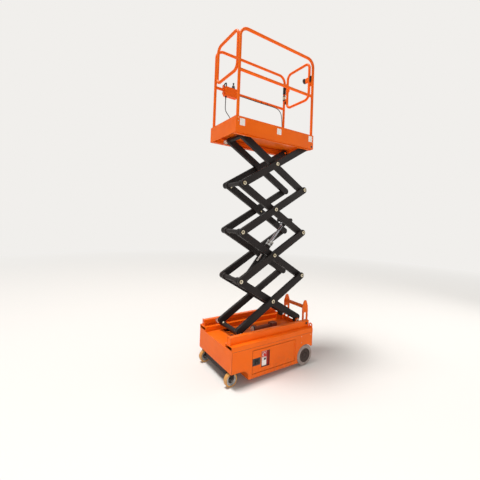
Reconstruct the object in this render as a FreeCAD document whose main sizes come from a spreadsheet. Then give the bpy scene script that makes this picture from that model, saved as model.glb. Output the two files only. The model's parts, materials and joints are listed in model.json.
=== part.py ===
import FreeCAD, Part
import math
import os
import re
from types import SimpleNamespace

import Sketcher
from FreeCAD import Placement, Rotation, Vector

# A small self-propelled electric scissor lift, raised to its working height.
# Millimetres. +X points to the front casters, +Y to the left, +Z up, and the
# origin lies on the floor under the middle of the chassis. The files are written
# with the origin under the middle of the whole length, with ladder and casters.

# Driving sizes: name, value, what it is
SIZES = (
    ("chassis_long", 1180, "chassis box, front to rear"),
    ("chassis_wide", 760, "chassis box over its side lids"),
    ("sheet", 4, "folded sheet of the chassis"),
    ("ledge_top", 438, "top of the side lids"),
    ("deck_sunk", 53, "floor between the side lids, below their top"),
    ("nose_gap", 10, "lower edge of the front plate above the fork crowns"),
    ("tail_bottom", 216, "lower edge of the rear plate"),
    ("sill_bottom", 55, "lower edge of the side panels"),
    ("lid_wide", 140, "width of a side lid"),
    ("lip_thick", 3, "lip of a side lid"),
    ("bay_long", 220, "front wheel bay, from the front end"),
    ("front_arch_round", 80, "rounding of the front wheel bay"),
    ("rear_arch_gap", 9, "gap round a drive wheel"),
    ("slot_long", 128, "slot in the front plate under a side lid"),
    ("slot_tall", 30, "front slot, height"),
    ("slot_inset", 74, "front slot, middle from the chassis side"),
    ("hatch_long", 110, "opening in the floor behind the front deck"),
    ("hatch_inset", 225, "front edge of that opening from the front end"),
    ("hatch_rim", 16, "floor left beside that opening"),
    ("rim_band", 12, "rim on the floor's walls, height of its band"),
    ("rim_proud", 6, "rim inside its wall"),
    ("rim_end", 49, "rear end of the rim from the rear end"),
    ("rim_round", 30, "round rear corner of the rim"),
    ("tray_gap", 5, "rear wall of the belly tray from the drive wheels"),
    ("door_post", 34, "panel between a drive wheel's arch and the side door"),
    ("door_front_inset", 265, "front edge of a side door from the front end"),
    ("door_bottom", 97, "lower edge of a side door"),
    ("door_drop", 88, "upper edge of a side door below the lids"),
    ("door_gap", 5, "gap round a side door"),
    ("door_knuckle", 3.5, "radius of a door hinge barrel"),
    ("door_leaf", 17.5, "length of a door hinge leaf"),
    ("door_hinge_z", 40, "door hinge from the door's edge"),
    ("knuckle_tall", 36, "hinge knuckle"),
    ("hinge_gap", 0.3, "gap between hinge knuckles"),
    ("vent_inset", 57, "middle of the door latch plate behind the door's edge"),
    ("vent_rise", 124, "middle of the latch plate above the door's edge"),
    ("vent_long", 106, "latch plate length"),
    ("vent_tall", 79, "latch plate height"),
    ("vent_back", 3, "latch plate behind the door sheet"),
    ("recess_inset", 180, "middle of the switch recess behind the door's edge"),
    ("recess_foot", 48, "switch recess above the door's lower edge"),
    ("recess_head", 35, "switch recess below the door's upper edge"),
    ("recess_long", 115, "switch recess length"),
    ("recess_deep", 14, "switch recess depth"),
    ("recess_wall", 3, "wall of the switch recess"),
    ("rail_side", 58, "outer face of a roller rail from the chassis side"),
    ("rail_wide", 47, "width of a roller rail"),
    ("rail_flange", 6, "flange and web of a roller rail"),
    ("rail_end", 10, "roller rail short of the chassis end"),
    ("tab_long", 28, "tab at the foot of a roller rail, front to rear"),
    ("tab_high", 8, "height and depth of that tab"),
    ("tab_front", 70, "foremost tab from the front end"),
    ("tab_first", 350, "next tab from the front end"),
    ("tab_pitch", 220, "pitch of the tabs behind it"),
    ("web_hole", 8, "radius of the hole in a roller rail"),
    ("web_hole_inset", 50, "that hole from the rear end"),
    ("web_hole_rise", 50, "that hole above the lid"),
    ("base_roller", 31.5, "radius of the lower rollers"),
    ("base_roller_wide", 32, "width of the lower rollers"),
    ("roll_gap", 0.5, "gap of a roller in its rail"),
    ("roller_side_gap", 2, "gap of a roller beside its rail's web"),
    ("drive_wheel", 122, "radius of a drive wheel"),
    ("drive_rim", 84, "radius of a drive wheel's rim"),
    ("drive_wide", 60, "width of a drive wheel"),
    ("drive_past", 2, "drive wheel past the rear end of the chassis"),
    ("drive_side", 5, "outer face of a drive wheel from the chassis side"),
    ("tyre_shoulder", 10, "fall of a drive tyre's shoulder"),
    ("tyre_shoulder_wide", 8, "width of a drive tyre's shoulder"),
    ("hub_back", 4, "drive hub inside the tyre's inner face"),
    ("hub_dish", 16, "middle of the drive hub inside the tyre's outer face"),
    ("hub_step", 8, "web of the drive hub inside the tyre's outer face"),
    ("hub_lip", 2, "rim lip inside the tyre's outer face"),
    ("hub_cone", 34, "flat middle of the drive hub"),
    ("hub_slope", 6, "slopes of the drive hub"),
    ("motor_radius", 55, "drive motor"),
    ("motor_long", 112, "drive motor length"),
    ("motor_gap", 4, "drive motor behind its wheel"),
    ("bracket_over", 10, "motor bracket beyond the motor"),
    ("bracket_thick", 8, "motor bracket"),
    ("bracket_bottom", 60, "lower edge of a motor bracket"),
    ("shaft_radius", 15, "drive shaft"),
    ("shaft_short", 20, "drive shaft inside the hub's outer face"),
    ("caster_radius", 73, "front wheel"),
    ("caster_rim", 55, "front wheel hub radius"),
    ("caster_wide", 46, "front wheel width"),
    ("caster_inset", 42, "front axle from the front end"),
    ("caster_side", 80, "front wheel's middle from the chassis side"),
    ("tread_shoulder", 5, "bevel of a front tread"),
    ("axle_radius", 8, "front wheel axle"),
    ("axle_end", 4, "front axle past its fork"),
    ("caster_nose", 18, "radius of a front hub's middle"),
    ("caster_dish", 8, "hollow of a front hub"),
    ("caster_lip", 5, "rim of a front hub"),
    ("crown_gap", 5, "fork crown above the front wheel"),
    ("fork_plate", 5, "fork crown thickness"),
    ("fork_leg", 7, "fork leg thickness"),
    ("fork_inside", 60, "clear width between the fork legs"),
    ("fork_half", 24, "half width of a fork leg at its crown"),
    ("fork_foot", 17, "half width of a fork leg at its axle"),
    ("pivot_radius", 30, "slewing bearing of a fork"),
    ("steer_arm", 75, "steering arm from the bearing to its pin"),
    ("steer_half", 12, "half width of a steering arm"),
    ("tie_pin", 6, "radius of a tie bar pin"),
    ("tie_pin_end", 4, "tie bar pin past the bar"),
    ("tie_thick", 8, "tie bar thickness"),
    ("tie_half", 10, "tie bar half width"),
    ("tie_over", 12, "tie bar past its pins"),
    ("tie_gap", 1, "tie bar below the steering arms"),
    ("bay_gap", 6, "front bay plate above the fork crowns"),
    ("bay_plate", 8, "front bay plate"),
    ("seat_gap", 0.3, "gap of a part that turns on a seat"),
    ("beam_deep", 36, "front cross beam, front to rear"),
    ("beam_bottom", 88, "underside of the front cross beam"),
    ("beam_short", 64, "end of the front cross beam from a wheel's middle"),
    ("pivot_inset", 70, "fixed base pivot from the rear end"),
    ("roller_stop", 20, "folded lower roller from the front end"),
    ("arm_side", 162, "outer face of the outer arms from the chassis side"),
    ("arm_tall", 80, "scissor arm tube height"),
    ("arm_wide", 40, "scissor arm tube width"),
    ("arm_end", 34, "scissor arm past its end pins"),
    ("arm_space", 12, "washer gap between inner and outer arms"),
    ("rest_angle", 30.43, "arm angle in the raised pose"),
    ("pivot_drop", 38, "base pivot and roller below the arm line"),
    ("arm_pin", 15, "scissor pin radius"),
    ("pin_head", 22, "scissor pin head radius"),
    ("head_thick", 6, "scissor pin head thickness"),
    ("head_gap", 0.5, "gap under a pin head"),
    ("washer_rim", 4, "washer round a pin head"),
    ("washer_gap", 2, "gap beside a washer"),
    ("pin_fit", 0.06, "running clearance of a pin"),
    ("boss_radius", 32, "boss round a base pivot"),
    ("cross_tube", 25, "radius of a cross tube"),
    ("eye_reach", 65, "cylinder eye from its cross tube"),
    ("eye_radius", 28, "cylinder eye"),
    ("eye_wide", 40, "cylinder eye width"),
    ("eye_gap", 4, "gap beside a cylinder eye"),
    ("eye_pin_end", 8, "cylinder pin past its lugs"),
    ("lug_thick", 10, "cylinder lug thickness"),
    ("lug_taper", 6, "taper of a cylinder lug"),
    ("lower_eye_inset", 176, "lower eye from the end pins of its arm"),
    ("upper_eye_inset", 193, "upper eye from the end pins of its arm"),
    ("barrel_radius", 38, "cylinder barrel"),
    ("barrel_long", 670, "lower eye to the end of the gland"),
    ("barrel_neck", 22, "neck between the barrel and its eye"),
    ("barrel_base", 30, "solid end of the barrel past its eye"),
    ("gland_radius", 42, "cylinder gland"),
    ("gland_long", 40, "cylinder gland length"),
    ("rod_radius", 18, "cylinder rod"),
    ("rod_inside", 204, "rod left in the barrel in the raised pose"),
    ("lug_plate", 12, "base pivot lug thickness"),
    ("lug_gap", 4, "base pivot lug beside its arm"),
    ("lug_foot", 60, "half length of a base pivot lug's foot"),
    ("lug_round", 26, "rounding of a base pivot lug"),
    ("platform_rear", 49, "toe board behind the rear top pins"),
    ("platform_front", 40, "toe board before the folded upper rollers"),
    ("platform_side", 76, "toe board outside the outer arms"),
    ("toe_bottom", 29, "toe board below the top pivots"),
    ("toe_thick", 4, "toe board sheet"),
    ("toe_hole", 8, "radius of the hole at the rear of the toe board's sides"),
    ("toe_hole_inset", 30, "that hole from the rear edge"),
    ("toe_hole_rise", 30, "that hole above the lower edge"),
    ("deck_drop", 94, "platform deck below the toe board's top"),
    ("deck_thick", 8, "platform deck"),
    ("web_rise", 47, "top of a platform rail above the top pivots"),
    ("top_roller", 28, "radius of the upper rollers"),
    ("top_roller_wide", 22, "width of the upper rollers"),
    ("top_roll_gap", 1, "gap of an upper roller in its rail"),
    ("top_rail_side", 42, "outer face of a platform rail outside the outer arms"),
    ("top_rail_wide", 30, "width of a platform rail"),
    ("top_rail_flange", 4, "flange and web of a platform rail"),
    ("top_lug_wide", 10, "top pivot lug"),
    ("top_pin_back", 2, "top pivot pin past the arm's inner face"),
    ("tube_radius", 17, "guardrail tube"),
    ("post_gap", 1, "rear posts and side guardrails from the toe board"),
    ("post_front_inset", 30, "front posts behind the toe board's front"),
    ("guard_rise", 1078, "top rail above the deck"),
    ("mid_drop", 470, "middle rail below the top rail"),
    ("side_bend", 100, "bend of the side guardrails"),
    ("ring_bend", 70, "bend of the end frames"),
    ("ring_inset", 44, "front frame inside the side guardrails"),
    ("ring_tall", 450, "front frame, lower tube to top tube"),
    ("ring_stub", 8, "radius of the front frame's stubs"),
    ("stub_low", 100, "lower stubs above the front frame's lower tube"),
    ("stub_high", 120, "upper stubs below the top rail"),
    ("gate_tall", 480, "gate, lower tube to top tube"),
    ("gate_near_inset", 62, "latch side of the gate from the guardrail"),
    ("gate_far_inset", 67, "hinge side of the gate from the guardrail"),
    ("gate_axis_inset", 36, "gate hinge from the guardrail"),
    ("gate_knuckle", 9, "radius of a gate hinge barrel"),
    ("gate_leaf", 6, "gate hinge leaf"),
    ("gate_hinge_low", 110, "lower gate hinge above the gate's lower tube"),
    ("gate_hinge_high", 150, "upper gate hinge below the top rail"),
    ("latch_long", 44, "latch block, front to rear"),
    ("latch_tall", 70, "latch block height"),
    ("latch_inset", 37, "inner face of the latch block from the guardrail"),
    ("latch_drop", 265, "latch block's underside below the top rail"),
    ("catch_reach", 42, "gate catch beside its tube"),
    ("catch_deep", 20, "gate catch, front to rear"),
    ("catch_tall", 54, "gate catch height"),
    ("catch_drop", 255, "gate catch's underside below the top rail"),
    ("guard_radius", 5, "joystick guard rod"),
    ("guard_bend", 15, "bend of the joystick guard"),
    ("guard_tall", 46, "joystick guard height"),
    ("guard_half", 24, "half width of the joystick guard"),
    ("guard_inset", 14, "joystick guard from the end of the box"),
    ("box_inset", 189, "control box, middle behind the front posts"),
    ("box_long", 185, "control box length"),
    ("box_deep", 60, "control box depth"),
    ("box_tall", 112, "control box height"),
    ("box_drop", 96, "control box underside below the middle rail"),
    ("box_gap", 6, "control box from the guardrail tube"),
    ("box_round", 12, "rounding of the control box"),
    ("end_lobe", 21, "radius of the end bracket's lobes"),
    ("end_lobe_pitch", 80, "pitch of those lobes"),
    ("end_rise", 14, "end bracket above the middle of the control box"),
    ("end_plate_off", 12, "end bracket from the control box"),
    ("end_plate_thick", 6, "end bracket thickness"),
    ("stick_off", 38, "joystick behind the middle of the box"),
    ("boot_radius", 20, "joystick boot"),
    ("boot_tall", 50, "joystick boot height"),
    ("grip_radius", 7, "joystick grip"),
    ("grip_tall", 24, "joystick grip above its boot"),
    ("knob_radius", 10, "joystick knob"),
    ("clamp_wall", 6, "clamp on the middle rail"),
    ("clamp_long", 20, "clamp length"),
    ("clamp_inset", 30, "clamp from the end of the box"),
    ("cable_radius", 5, "control cable"),
    ("cable_gland", 18, "cable gland length"),
    ("gland_wall", 5, "wall of a cable gland"),
    ("ladder_gap", 20, "entry ladder behind the chassis"),
    ("ladder_long", 100, "entry ladder, front to rear"),
    ("ladder_half", 179, "outer face of a ladder plate from the middle"),
    ("ladder_plate", 8, "ladder plate"),
    ("ladder_top", 715, "tip of a ladder plate"),
    ("ladder_foot", 300, "foot of a ladder plate"),
    ("ladder_slope", 32, "slope of a ladder plate's tip"),
    ("ladder_round", 14, "rounding of a ladder plate's tip"),
    ("hand_slot_wide", 40, "slot in a ladder plate"),
    ("hand_slot_foot", 60, "that slot above the plate's foot"),
    ("hand_slot_head", 80, "that slot below the step"),
    ("ladder_tab_wide", 30, "tab that carries a ladder plate"),
    ("ladder_tab_tall", 40, "height of that tab"),
    ("ladder_tab_low", 10, "lower tab above the plate's foot"),
    ("ladder_tab_pitch", 84, "upper tab above the lower one"),
    ("step_top", 637, "ladder step"),
    ("step_long", 60, "ladder step, front to rear"),
    ("step_thick", 25, "ladder step thickness"),
    ("tie_hole", 12.5, "tie-down hole radius"),
    ("tie_lug", 8, "tie-down lug thickness"),
    ("tie_lug_inset", 2, "tie-down lug from the rear end"),
    ("tie_lug_side", 30, "tie-down lug's middle from the chassis side"),
    ("tie_lug_half", 25, "half width of a tie-down lug"),
    ("tie_lug_tall", 52, "height of a tie-down lug"),
    ("tie_hole_rise", 27, "tie-down hole above the lid"),
    ("battery_long", 360, "battery, front to rear"),
    ("battery_side", 120, "battery from the chassis side"),
    ("battery_tall", 240, "battery height"),
    ("pump_radius", 38, "pump motor's end bell"),
    ("pump_bell_long", 50, "length of that bell"),
    ("pump_body", 22, "radius of the pump motor behind the bell"),
    ("pump_long", 275, "pump motor length"),
    ("pump_rear", 260, "rear of the pump manifold from the middle of the chassis"),
    ("pump_rise", 42, "pump motor's axis above the floor"),
    ("pump_side", 45, "pump motor's axis from the centre line"),
    ("manifold_long", 80, "pump manifold, front to rear"),
    ("manifold_half", 40, "half width of the pump manifold"),
    ("manifold_tall", 76, "pump manifold height"),
    ("pump_foot_long", 60, "pump foot, front to rear"),
    ("pump_foot_tall", 30, "pump foot height"),
)

# Places and sizes that follow from the driving sizes: name, formula, what it is
PLACES = (
    ("deck_top", "ledge_top - deck_sunk", "floor between the side lids"),
    ("lid_inner", "chassis_wide / 2 - lid_wide", "inner edge of a side lid from the middle"),
    ("crown_bottom", "2 * caster_radius + crown_gap", "underside of a fork crown"),
    ("nose_bottom", "2 * caster_radius + crown_gap + nose_gap", "lower edge of the front plate"),
    ("front_arch_back", "chassis_long / 2 - bay_long", "rear edge of the front wheel bay"),
    ("slot_side", "chassis_wide / 2 - slot_inset", "front slot, middle from the centre line"),
    ("hatch_front", "chassis_long / 2 - hatch_inset", "front edge of the floor's opening"),
    ("drive_x", "chassis_long / 2 - drive_wheel + drive_past", "drive axle behind the origin"),
    ("tray_rear", "chassis_long / 2 - 2 * drive_wheel + drive_past - tray_gap",
     "rear wall of the belly tray behind the origin"),
    ("door_rear", "chassis_long / 2 - 2 * drive_wheel + drive_past - rear_arch_gap - door_post",
     "rear edge of a side door behind the origin"),
    ("door_front", "chassis_long / 2 - door_front_inset", "front edge of a side door"),
    ("door_top", "ledge_top - door_drop", "upper edge of a side door"),
    ("vent_mid_x", "chassis_long / 2 - door_front_inset - vent_inset", "middle of the latch plate"),
    ("recess_mid_x", "chassis_long / 2 - door_front_inset - recess_inset", "middle of the switch recess"),
    ("recess_tall", "ledge_top - door_drop - recess_head - door_bottom - recess_foot",
     "switch recess height"),
    ("rail_web_face", "chassis_wide / 2 - rail_side", "outer face of a roller rail from the middle"),
    ("rail_long", "chassis_long - 2 * rail_end", "length of a roller rail"),
    ("rail_tall", "2 * (rail_flange + roll_gap + base_roller)", "height of a roller rail"),
    ("drive_outer", "chassis_wide / 2 - drive_side", "outer face of a drive wheel from the middle"),
    ("caster_x", "chassis_long / 2 - caster_inset", "front axle before the origin"),
    ("caster_y", "chassis_wide / 2 - caster_side", "front wheel from the middle"),
    ("beam_half", "chassis_wide / 2 - caster_side - beam_short", "half length of the front cross beam"),
    ("pivot_x", "chassis_long / 2 - pivot_inset", "fixed base pivot behind the origin"),
    ("arm_pitch", "chassis_long - pivot_inset - roller_stop", "pin to pin along a scissor arm"),
    ("outer_face", "chassis_wide / 2 - arm_side", "outer face of the outer arms"),
    ("inner_face", "chassis_wide / 2 - arm_side - arm_wide - arm_space", "outer face of the inner arms"),
    ("lower_eye", "(chassis_long - pivot_inset - roller_stop) / 2 - lower_eye_inset",
     "lower eye from the middle of its arm"),
    ("upper_eye", "(chassis_long - pivot_inset - roller_stop) / 2 - upper_eye_inset",
     "upper eye from the middle of its arm"),
    ("platform_long", "chassis_long - pivot_inset - roller_stop + platform_rear + platform_front",
     "platform over its toe board"),
    ("platform_wide", "chassis_wide - 2 * (arm_side - platform_side)", "platform over its toe board"),
    ("toe_tall", "toe_bottom + web_rise + deck_thick + deck_drop", "toe board height"),
    ("top_rail_web", "chassis_wide / 2 - arm_side + top_rail_side",
     "outer face of a platform rail from the middle"),
    ("post_rear_inset", "toe_thick + post_gap + tube_radius", "rear posts before the toe board's rear"),
    ("side_y", "chassis_wide / 2 - arm_side + platform_side - toe_thick - post_gap - tube_radius",
     "side guardrails from the middle"),
    ("ladder_front", "chassis_long / 2 + ladder_gap", "front edge of the entry ladder"),
    ("ladder_face", "chassis_long / 2 + ladder_gap + ladder_long", "rear edge of the entry ladder"),
)

SHEET_OF = {alias: "Sizes" for alias, number, note in SIZES}
SHEET_OF.update({alias: "Places" for alias, text, note in PLACES})

doc = FreeCAD.newDocument("scissor_lift")


def formula(text):
    """A sheet expression from a formula written with plain names."""
    return re.sub(r"[a-z]\w*", lambda word: "%s.%s" % (SHEET_OF[word.group()], word.group())
                  if word.group() in SHEET_OF else word.group(), text)


def make_sheet(name, rows):
    """A spreadsheet with a note and an aliased cell in each row; returns its values by name."""
    table = doc.addObject("Spreadsheet::Sheet", name)
    for row, (alias, content, note) in enumerate(rows, 1):
        table.set("A%d" % row, note)
        table.set("B%d" % row, content)
        table.setAlias("B%d" % row, alias)
    doc.recompute()
    return {alias: float(table.get(alias)) for alias, content, note in rows}


values = make_sheet("Sizes", [(alias, str(number), note) for alias, number, note in SIZES])
values.update(make_sheet("Places", [(alias, "=" + formula(text), note) for alias, text, note in PLACES]))
size = SimpleNamespace(**values)
nodes = []

X_AXIS = Vector(1, 0, 0)
Y_AXIS = Vector(0, 1, 0)
Z_AXIS = Vector(0, 0, 1)


# Helpers that make the document's objects

def bind(thing, prop, text):
    """Tie one property to a formula of the sheet."""
    thing.setExpression(prop, formula(text))


def node(thing, label):
    """Give a finished sub-part its name and keep it for the export."""
    thing.Label = label
    nodes.append(thing)
    return thing


def block(name, dims, corner):
    """A box from its least corner; dims are three formulas."""
    box = doc.addObject("Part::Box", name)
    for prop, text in zip(("Length", "Width", "Height"), dims):
        bind(box, prop, text)
    box.Placement = Placement(Vector(*corner), Rotation())
    return box


def rod(name, radius, length, start, direction=Z_AXIS):
    """A cylinder from a start point along a direction; radius and length are formulas."""
    cylinder = doc.addObject("Part::Cylinder", name)
    bind(cylinder, "Radius", radius)
    bind(cylinder, "Height", length)
    cylinder.Placement = Placement(Vector(*start), Rotation(Z_AXIS, Vector(*direction)))
    return cylinder


def fuse(name, shapes):
    joined = doc.addObject("Part::MultiFuse", name)
    joined.Shapes = shapes
    return joined


def cut(name, base, tools):
    """The base with every tool taken away."""
    tool = tools[0] if len(tools) == 1 else fuse(name + "_tools", tools)
    result = doc.addObject("Part::Cut", name)
    result.Base = base
    result.Tool = tool
    return result


def group(name, parts):
    """Several separate solids of one sub-part."""
    compound = doc.addObject("Part::Compound", name)
    compound.Links = parts
    return compound


def mirrored(name, source):
    """The same piece on the other side of the centre line."""
    twin = doc.addObject("Part::Mirroring", name)
    twin.Source = source
    twin.Normal = Y_AXIS
    return twin


def origin_plane(body, role):
    return next(feature for feature in body.Origin.OriginFeatures if feature.Role == role)


def outline_sketch(body, name, role, corners):
    """A closed outline whose every corner is held by two formulas."""
    sketch = body.newObject("Sketcher::SketchObject", name)
    sketch.AttachmentSupport = (origin_plane(body, role), [""])
    sketch.MapMode = "FlatFace"
    count = len(corners)
    spread = [Vector(math.cos(2 * math.pi * turn / count), math.sin(2 * math.pi * turn / count), 0)
              for turn in range(count)]
    for turn in range(count):
        sketch.addGeometry(Part.LineSegment(spread[turn], spread[(turn + 1) % count]), False)
    for turn in range(count):
        sketch.addConstraint(Sketcher.Constraint("Coincident", turn, 2, (turn + 1) % count, 1))
    for turn, texts in enumerate(corners):
        for kind, text, start in zip(("DistanceX", "DistanceY"), texts, spread[turn]):
            index = sketch.addConstraint(Sketcher.Constraint(kind, -1, 1, turn, 1, start))
            bind(sketch, "Constraints[%d]" % index, text)
    return sketch


def prism(name, role, corners, depth, rounds=(), place=Placement()):
    """A padded outline, half of its depth on each side of the plane.

    rounds holds (corner number, radius formula) of the edges that are rounded."""
    body = doc.addObject("PartDesign::Body", name)
    sketch = outline_sketch(body, name + "_outline", role, corners)
    pad = body.newObject("PartDesign::Pad", name + "_pad")
    pad.Profile = sketch
    pad.Midplane = True
    bind(pad, "Length", depth)
    doc.recompute()
    base = pad
    for corner, radius in rounds:
        foot = sketch.getGlobalPlacement().multVec(sketch.Geometry[corner].StartPoint)
        normal = sketch.getGlobalPlacement().Rotation.multVec(Z_AXIS)
        edge = next(number for number, line in enumerate(base.Shape.Edges, 1)
                    if line.Length > 0 and all(abs((point.Point - foot).cross(normal).Length) < 0.001
                                               for point in line.Vertexes))
        fillet = body.newObject("PartDesign::Fillet", "%s_round_%d" % (name, corner))
        fillet.Base = (base, ["Edge%d" % edge])
        bind(fillet, "Radius", radius)
        body.Tip = fillet
        doc.recompute()
        base = fillet
    body.Placement = place
    return body


def turned(name, corners, place):
    """A profile turned about the body's own Y axis; corners are (along, radius) formulas."""
    body = doc.addObject("PartDesign::Body", name)
    sketch = outline_sketch(body, name + "_profile", "YZ_Plane", corners)
    wheel = body.newObject("PartDesign::Revolution", name + "_turn")
    wheel.Profile = sketch
    wheel.ReferenceAxis = (sketch, ["H_Axis"])
    wheel.Angle = 360
    body.Placement = place
    return body


def bent_tube(name, points, radius, bend, closed=False):
    """Straight tubes and quarter bends through the corner points; radius and bend are size names."""
    bend_radius = getattr(size, bend) if bend else 0
    count = len(points)
    corners = [Vector(*point) for point in points]
    pieces = []
    for turn in range(count if closed else count - 1):
        start, end = corners[turn], corners[(turn + 1) % count]
        along = (end - start).normalize()
        first = bend_radius if closed or turn > 0 else 0
        last = bend_radius if closed or turn < count - 2 else 0
        straight = doc.addObject("Part::Cylinder", "%s_run_%d" % (name, turn))
        bind(straight, "Radius", radius)
        straight.Height = (end - start).Length - first - last
        straight.Placement = Placement(start + along * first, Rotation(Z_AXIS, along))
        pieces.append(straight)
    for turn in range(count) if closed else range(1, count - 1):
        before = (corners[turn] - corners[turn - 1]).normalize()
        after = (corners[(turn + 1) % count] - corners[turn]).normalize()
        elbow = doc.addObject("Part::Torus", "%s_bend_%d" % (name, turn))
        bind(elbow, "Radius1", bend)
        bind(elbow, "Radius2", radius)
        elbow.Angle3 = 90
        centre = corners[turn] - before * bend_radius + after * bend_radius
        elbow.Placement = Placement(centre, Rotation(-after, before, before.cross(after), "ZXY"))
        pieces.append(elbow)
    return fuse(name, pieces) if len(pieces) > 1 else pieces[0]


# Places worked out from the driving sizes

half_long = size.chassis_long / 2
half_wide = size.chassis_wide / 2
base_pivot_z = size.ledge_top + size.rail_tall / 2
arm_sin = math.sin(math.radians(size.rest_angle))
arm_cos = math.cos(math.radians(size.rest_angle))
stage_rise = size.arm_pitch * arm_sin
stage_run = size.arm_pitch * arm_cos
rear_pin_x = -size.pivot_x - size.pivot_drop * arm_sin
front_pin_x = rear_pin_x + stage_run
low_pin_z = base_pivot_z + size.pivot_drop * arm_cos
top_pin_z = low_pin_z + 4 * stage_rise
platform_back = rear_pin_x - size.platform_rear
platform_mid = platform_back + size.platform_long / 2
platform_top = top_pin_z + size.web_rise + size.deck_thick
post_rear_x = platform_back + size.post_rear_inset
post_front_x = platform_back + size.platform_long - size.post_front_inset
top_rail_z = platform_top + size.guard_rise
mid_rail_z = top_rail_z - size.mid_drop


def stage_middle(stage):
    """Centre pin of a stage, numbered from 1 at the bottom."""
    return Vector((rear_pin_x + front_pin_x) / 2, 0, low_pin_z + (stage - 0.5) * stage_rise)


def inner_place(stage):
    """Frame of the inner arms: X runs from the rear bottom pin to the front top pin."""
    return Placement(stage_middle(stage), Rotation(Y_AXIS, -size.rest_angle))


def outer_place(stage):
    """Frame of the outer arms: X runs from the rear top pin to the front bottom pin."""
    return Placement(stage_middle(stage), Rotation(Y_AXIS, size.rest_angle))


# Chassis box

def make_front_plate():
    """Front plate with a low middle and a slot under each side lid."""
    corners = [("-chassis_wide / 2 + lip_thick", "nose_bottom"),
               ("chassis_wide / 2 - lip_thick", "nose_bottom"),
               ("chassis_wide / 2 - lip_thick", "ledge_top - sheet"),
               ("lid_inner", "ledge_top - sheet"),
               ("lid_inner", "deck_top + lip_thick"),
               ("-lid_inner", "deck_top + lip_thick"),
               ("-lid_inner", "ledge_top - sheet"),
               ("-chassis_wide / 2 + lip_thick", "ledge_top - sheet")]
    plate = prism("front_plate_sheet", "YZ_Plane", corners, "sheet",
                  place=Placement(Vector(half_long - size.sheet / 2, 0, 0), Rotation()))
    slots = [block("front_slot_%s" % side, ("sheet * 3", "slot_long", "slot_tall"),
                   (half_long - size.sheet * 2, sign * size.slot_side - size.slot_long / 2,
                    size.ledge_top - size.sheet * 2 - size.slot_tall))
             for side, sign in (("left", 1), ("right", -1))]
    node(cut("front_plate_cut", plate, slots), "front_plate")


def make_rear_plate():
    node(block("rear_plate_sheet",
               ("sheet", "chassis_wide - 2 * lip_thick", "ledge_top - sheet - tail_bottom"),
               (-half_long, -half_wide + size.lip_thick, size.tail_bottom)), "rear_plate")


def door_hinges(away, rise):
    """Two hinge knuckles with their leaves, on one side of the left door's rear edge."""
    axis_x, axis_y = door_axis()
    pieces = []
    for level, height in enumerate((size.door_bottom + size.door_hinge_z + size.knuckle_tall,
                                    size.door_top - size.door_hinge_z - size.knuckle_tall)):
        name = "door_hinge_%s_%d" % ("door" if away > 0 else "panel", level)
        leaf_x = axis_x if away > 0 else axis_x - size.door_leaf
        pieces.append(block(name + "_leaf", ("door_leaf", "door_knuckle", "knuckle_tall"),
                            (leaf_x, half_wide - size.lip_thick, height + rise)))
        pieces.append(rod(name + "_barrel", "door_knuckle", "knuckle_tall",
                          (axis_x, axis_y, height + rise)))
    return pieces


def door_axis():
    """Plan position of the left door's hinge axis."""
    return (-size.door_rear + size.door_gap / 2,
            half_wide - size.lip_thick + size.door_knuckle + size.hinge_gap / 2)


def make_side_panels():
    """Side panels with wheel arches and the door opening."""
    corners = [("-chassis_long / 2 + sheet", "tail_bottom"),
               ("-drive_x", "tail_bottom"),
               ("-drive_x", "sill_bottom"),
               ("front_arch_back", "sill_bottom"),
               ("front_arch_back", "nose_bottom"),
               ("chassis_long / 2 - sheet", "nose_bottom"),
               ("chassis_long / 2 - sheet", "ledge_top - sheet"),
               ("-chassis_long / 2 + sheet", "ledge_top - sheet")]
    middle = half_wide - size.lip_thick - size.sheet / 2
    sheet_plate = prism("side_panel_sheet", "XZ_Plane", corners, "sheet",
                        rounds=((4, "front_arch_round"),),
                        place=Placement(Vector(0, middle, 0), Rotation()))
    arch = rod("side_panel_arch", "drive_wheel + rear_arch_gap", "sheet * 5",
               (-size.drive_x, middle - size.sheet * 2.5, size.drive_wheel), Y_AXIS)
    opening = block("side_panel_opening",
                    ("door_front + door_rear", "sheet * 5", "door_top - door_bottom"),
                    (-size.door_rear, middle - size.sheet * 2.5, size.door_bottom))
    panel = cut("side_panel_cut", sheet_plate, [arch, opening])
    left = fuse("side_panel_left", [panel] + door_hinges(-1, -size.knuckle_tall - size.hinge_gap))
    node(group("side_panels_pair", [left, mirrored("side_panel_right", left)]), "side_panels")


def tie_down_lug():
    """Upright lashing lug at the rear end of the left lid."""
    middle = half_wide - size.tie_lug_side
    corners = [("-tie_lug_half", "0"), ("tie_lug_half", "0"), ("tie_lug_half", "tie_lug_tall"),
               ("-tie_lug_half", "tie_lug_tall")]
    plate = prism("tie_down_plate", "YZ_Plane", corners, "tie_lug",
                  rounds=((2, "tie_lug_half - 1"), (3, "tie_lug_half - 1")),
                  place=Placement(Vector(-half_long + size.tie_lug / 2 + size.tie_lug_inset, middle,
                                         size.ledge_top), Rotation()))
    hole = rod("tie_down_hole", "tie_hole", "tie_lug * 3",
               (-half_long - size.tie_lug, middle, size.ledge_top + size.tie_hole_rise), X_AXIS)
    return cut("tie_down_lug", plate, [hole])


def make_lids():
    """Folded side lids: a flat ledge and a lip over the side panel, with a lashing lug."""
    corners = [("lid_inner", "ledge_top"), ("chassis_wide / 2", "ledge_top"),
               ("chassis_wide / 2", "deck_top"), ("chassis_wide / 2 - lip_thick", "deck_top"),
               ("chassis_wide / 2 - lip_thick", "ledge_top - sheet"),
               ("lid_inner", "ledge_top - sheet")]
    lid = prism("lid_fold", "YZ_Plane", corners, "chassis_long", rounds=((1, "sheet"),))
    left = fuse("lid_left", [lid, tie_down_lug()])
    node(group("lids_pair", [left, mirrored("lid_right", left)]), "side_lids")


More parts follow.
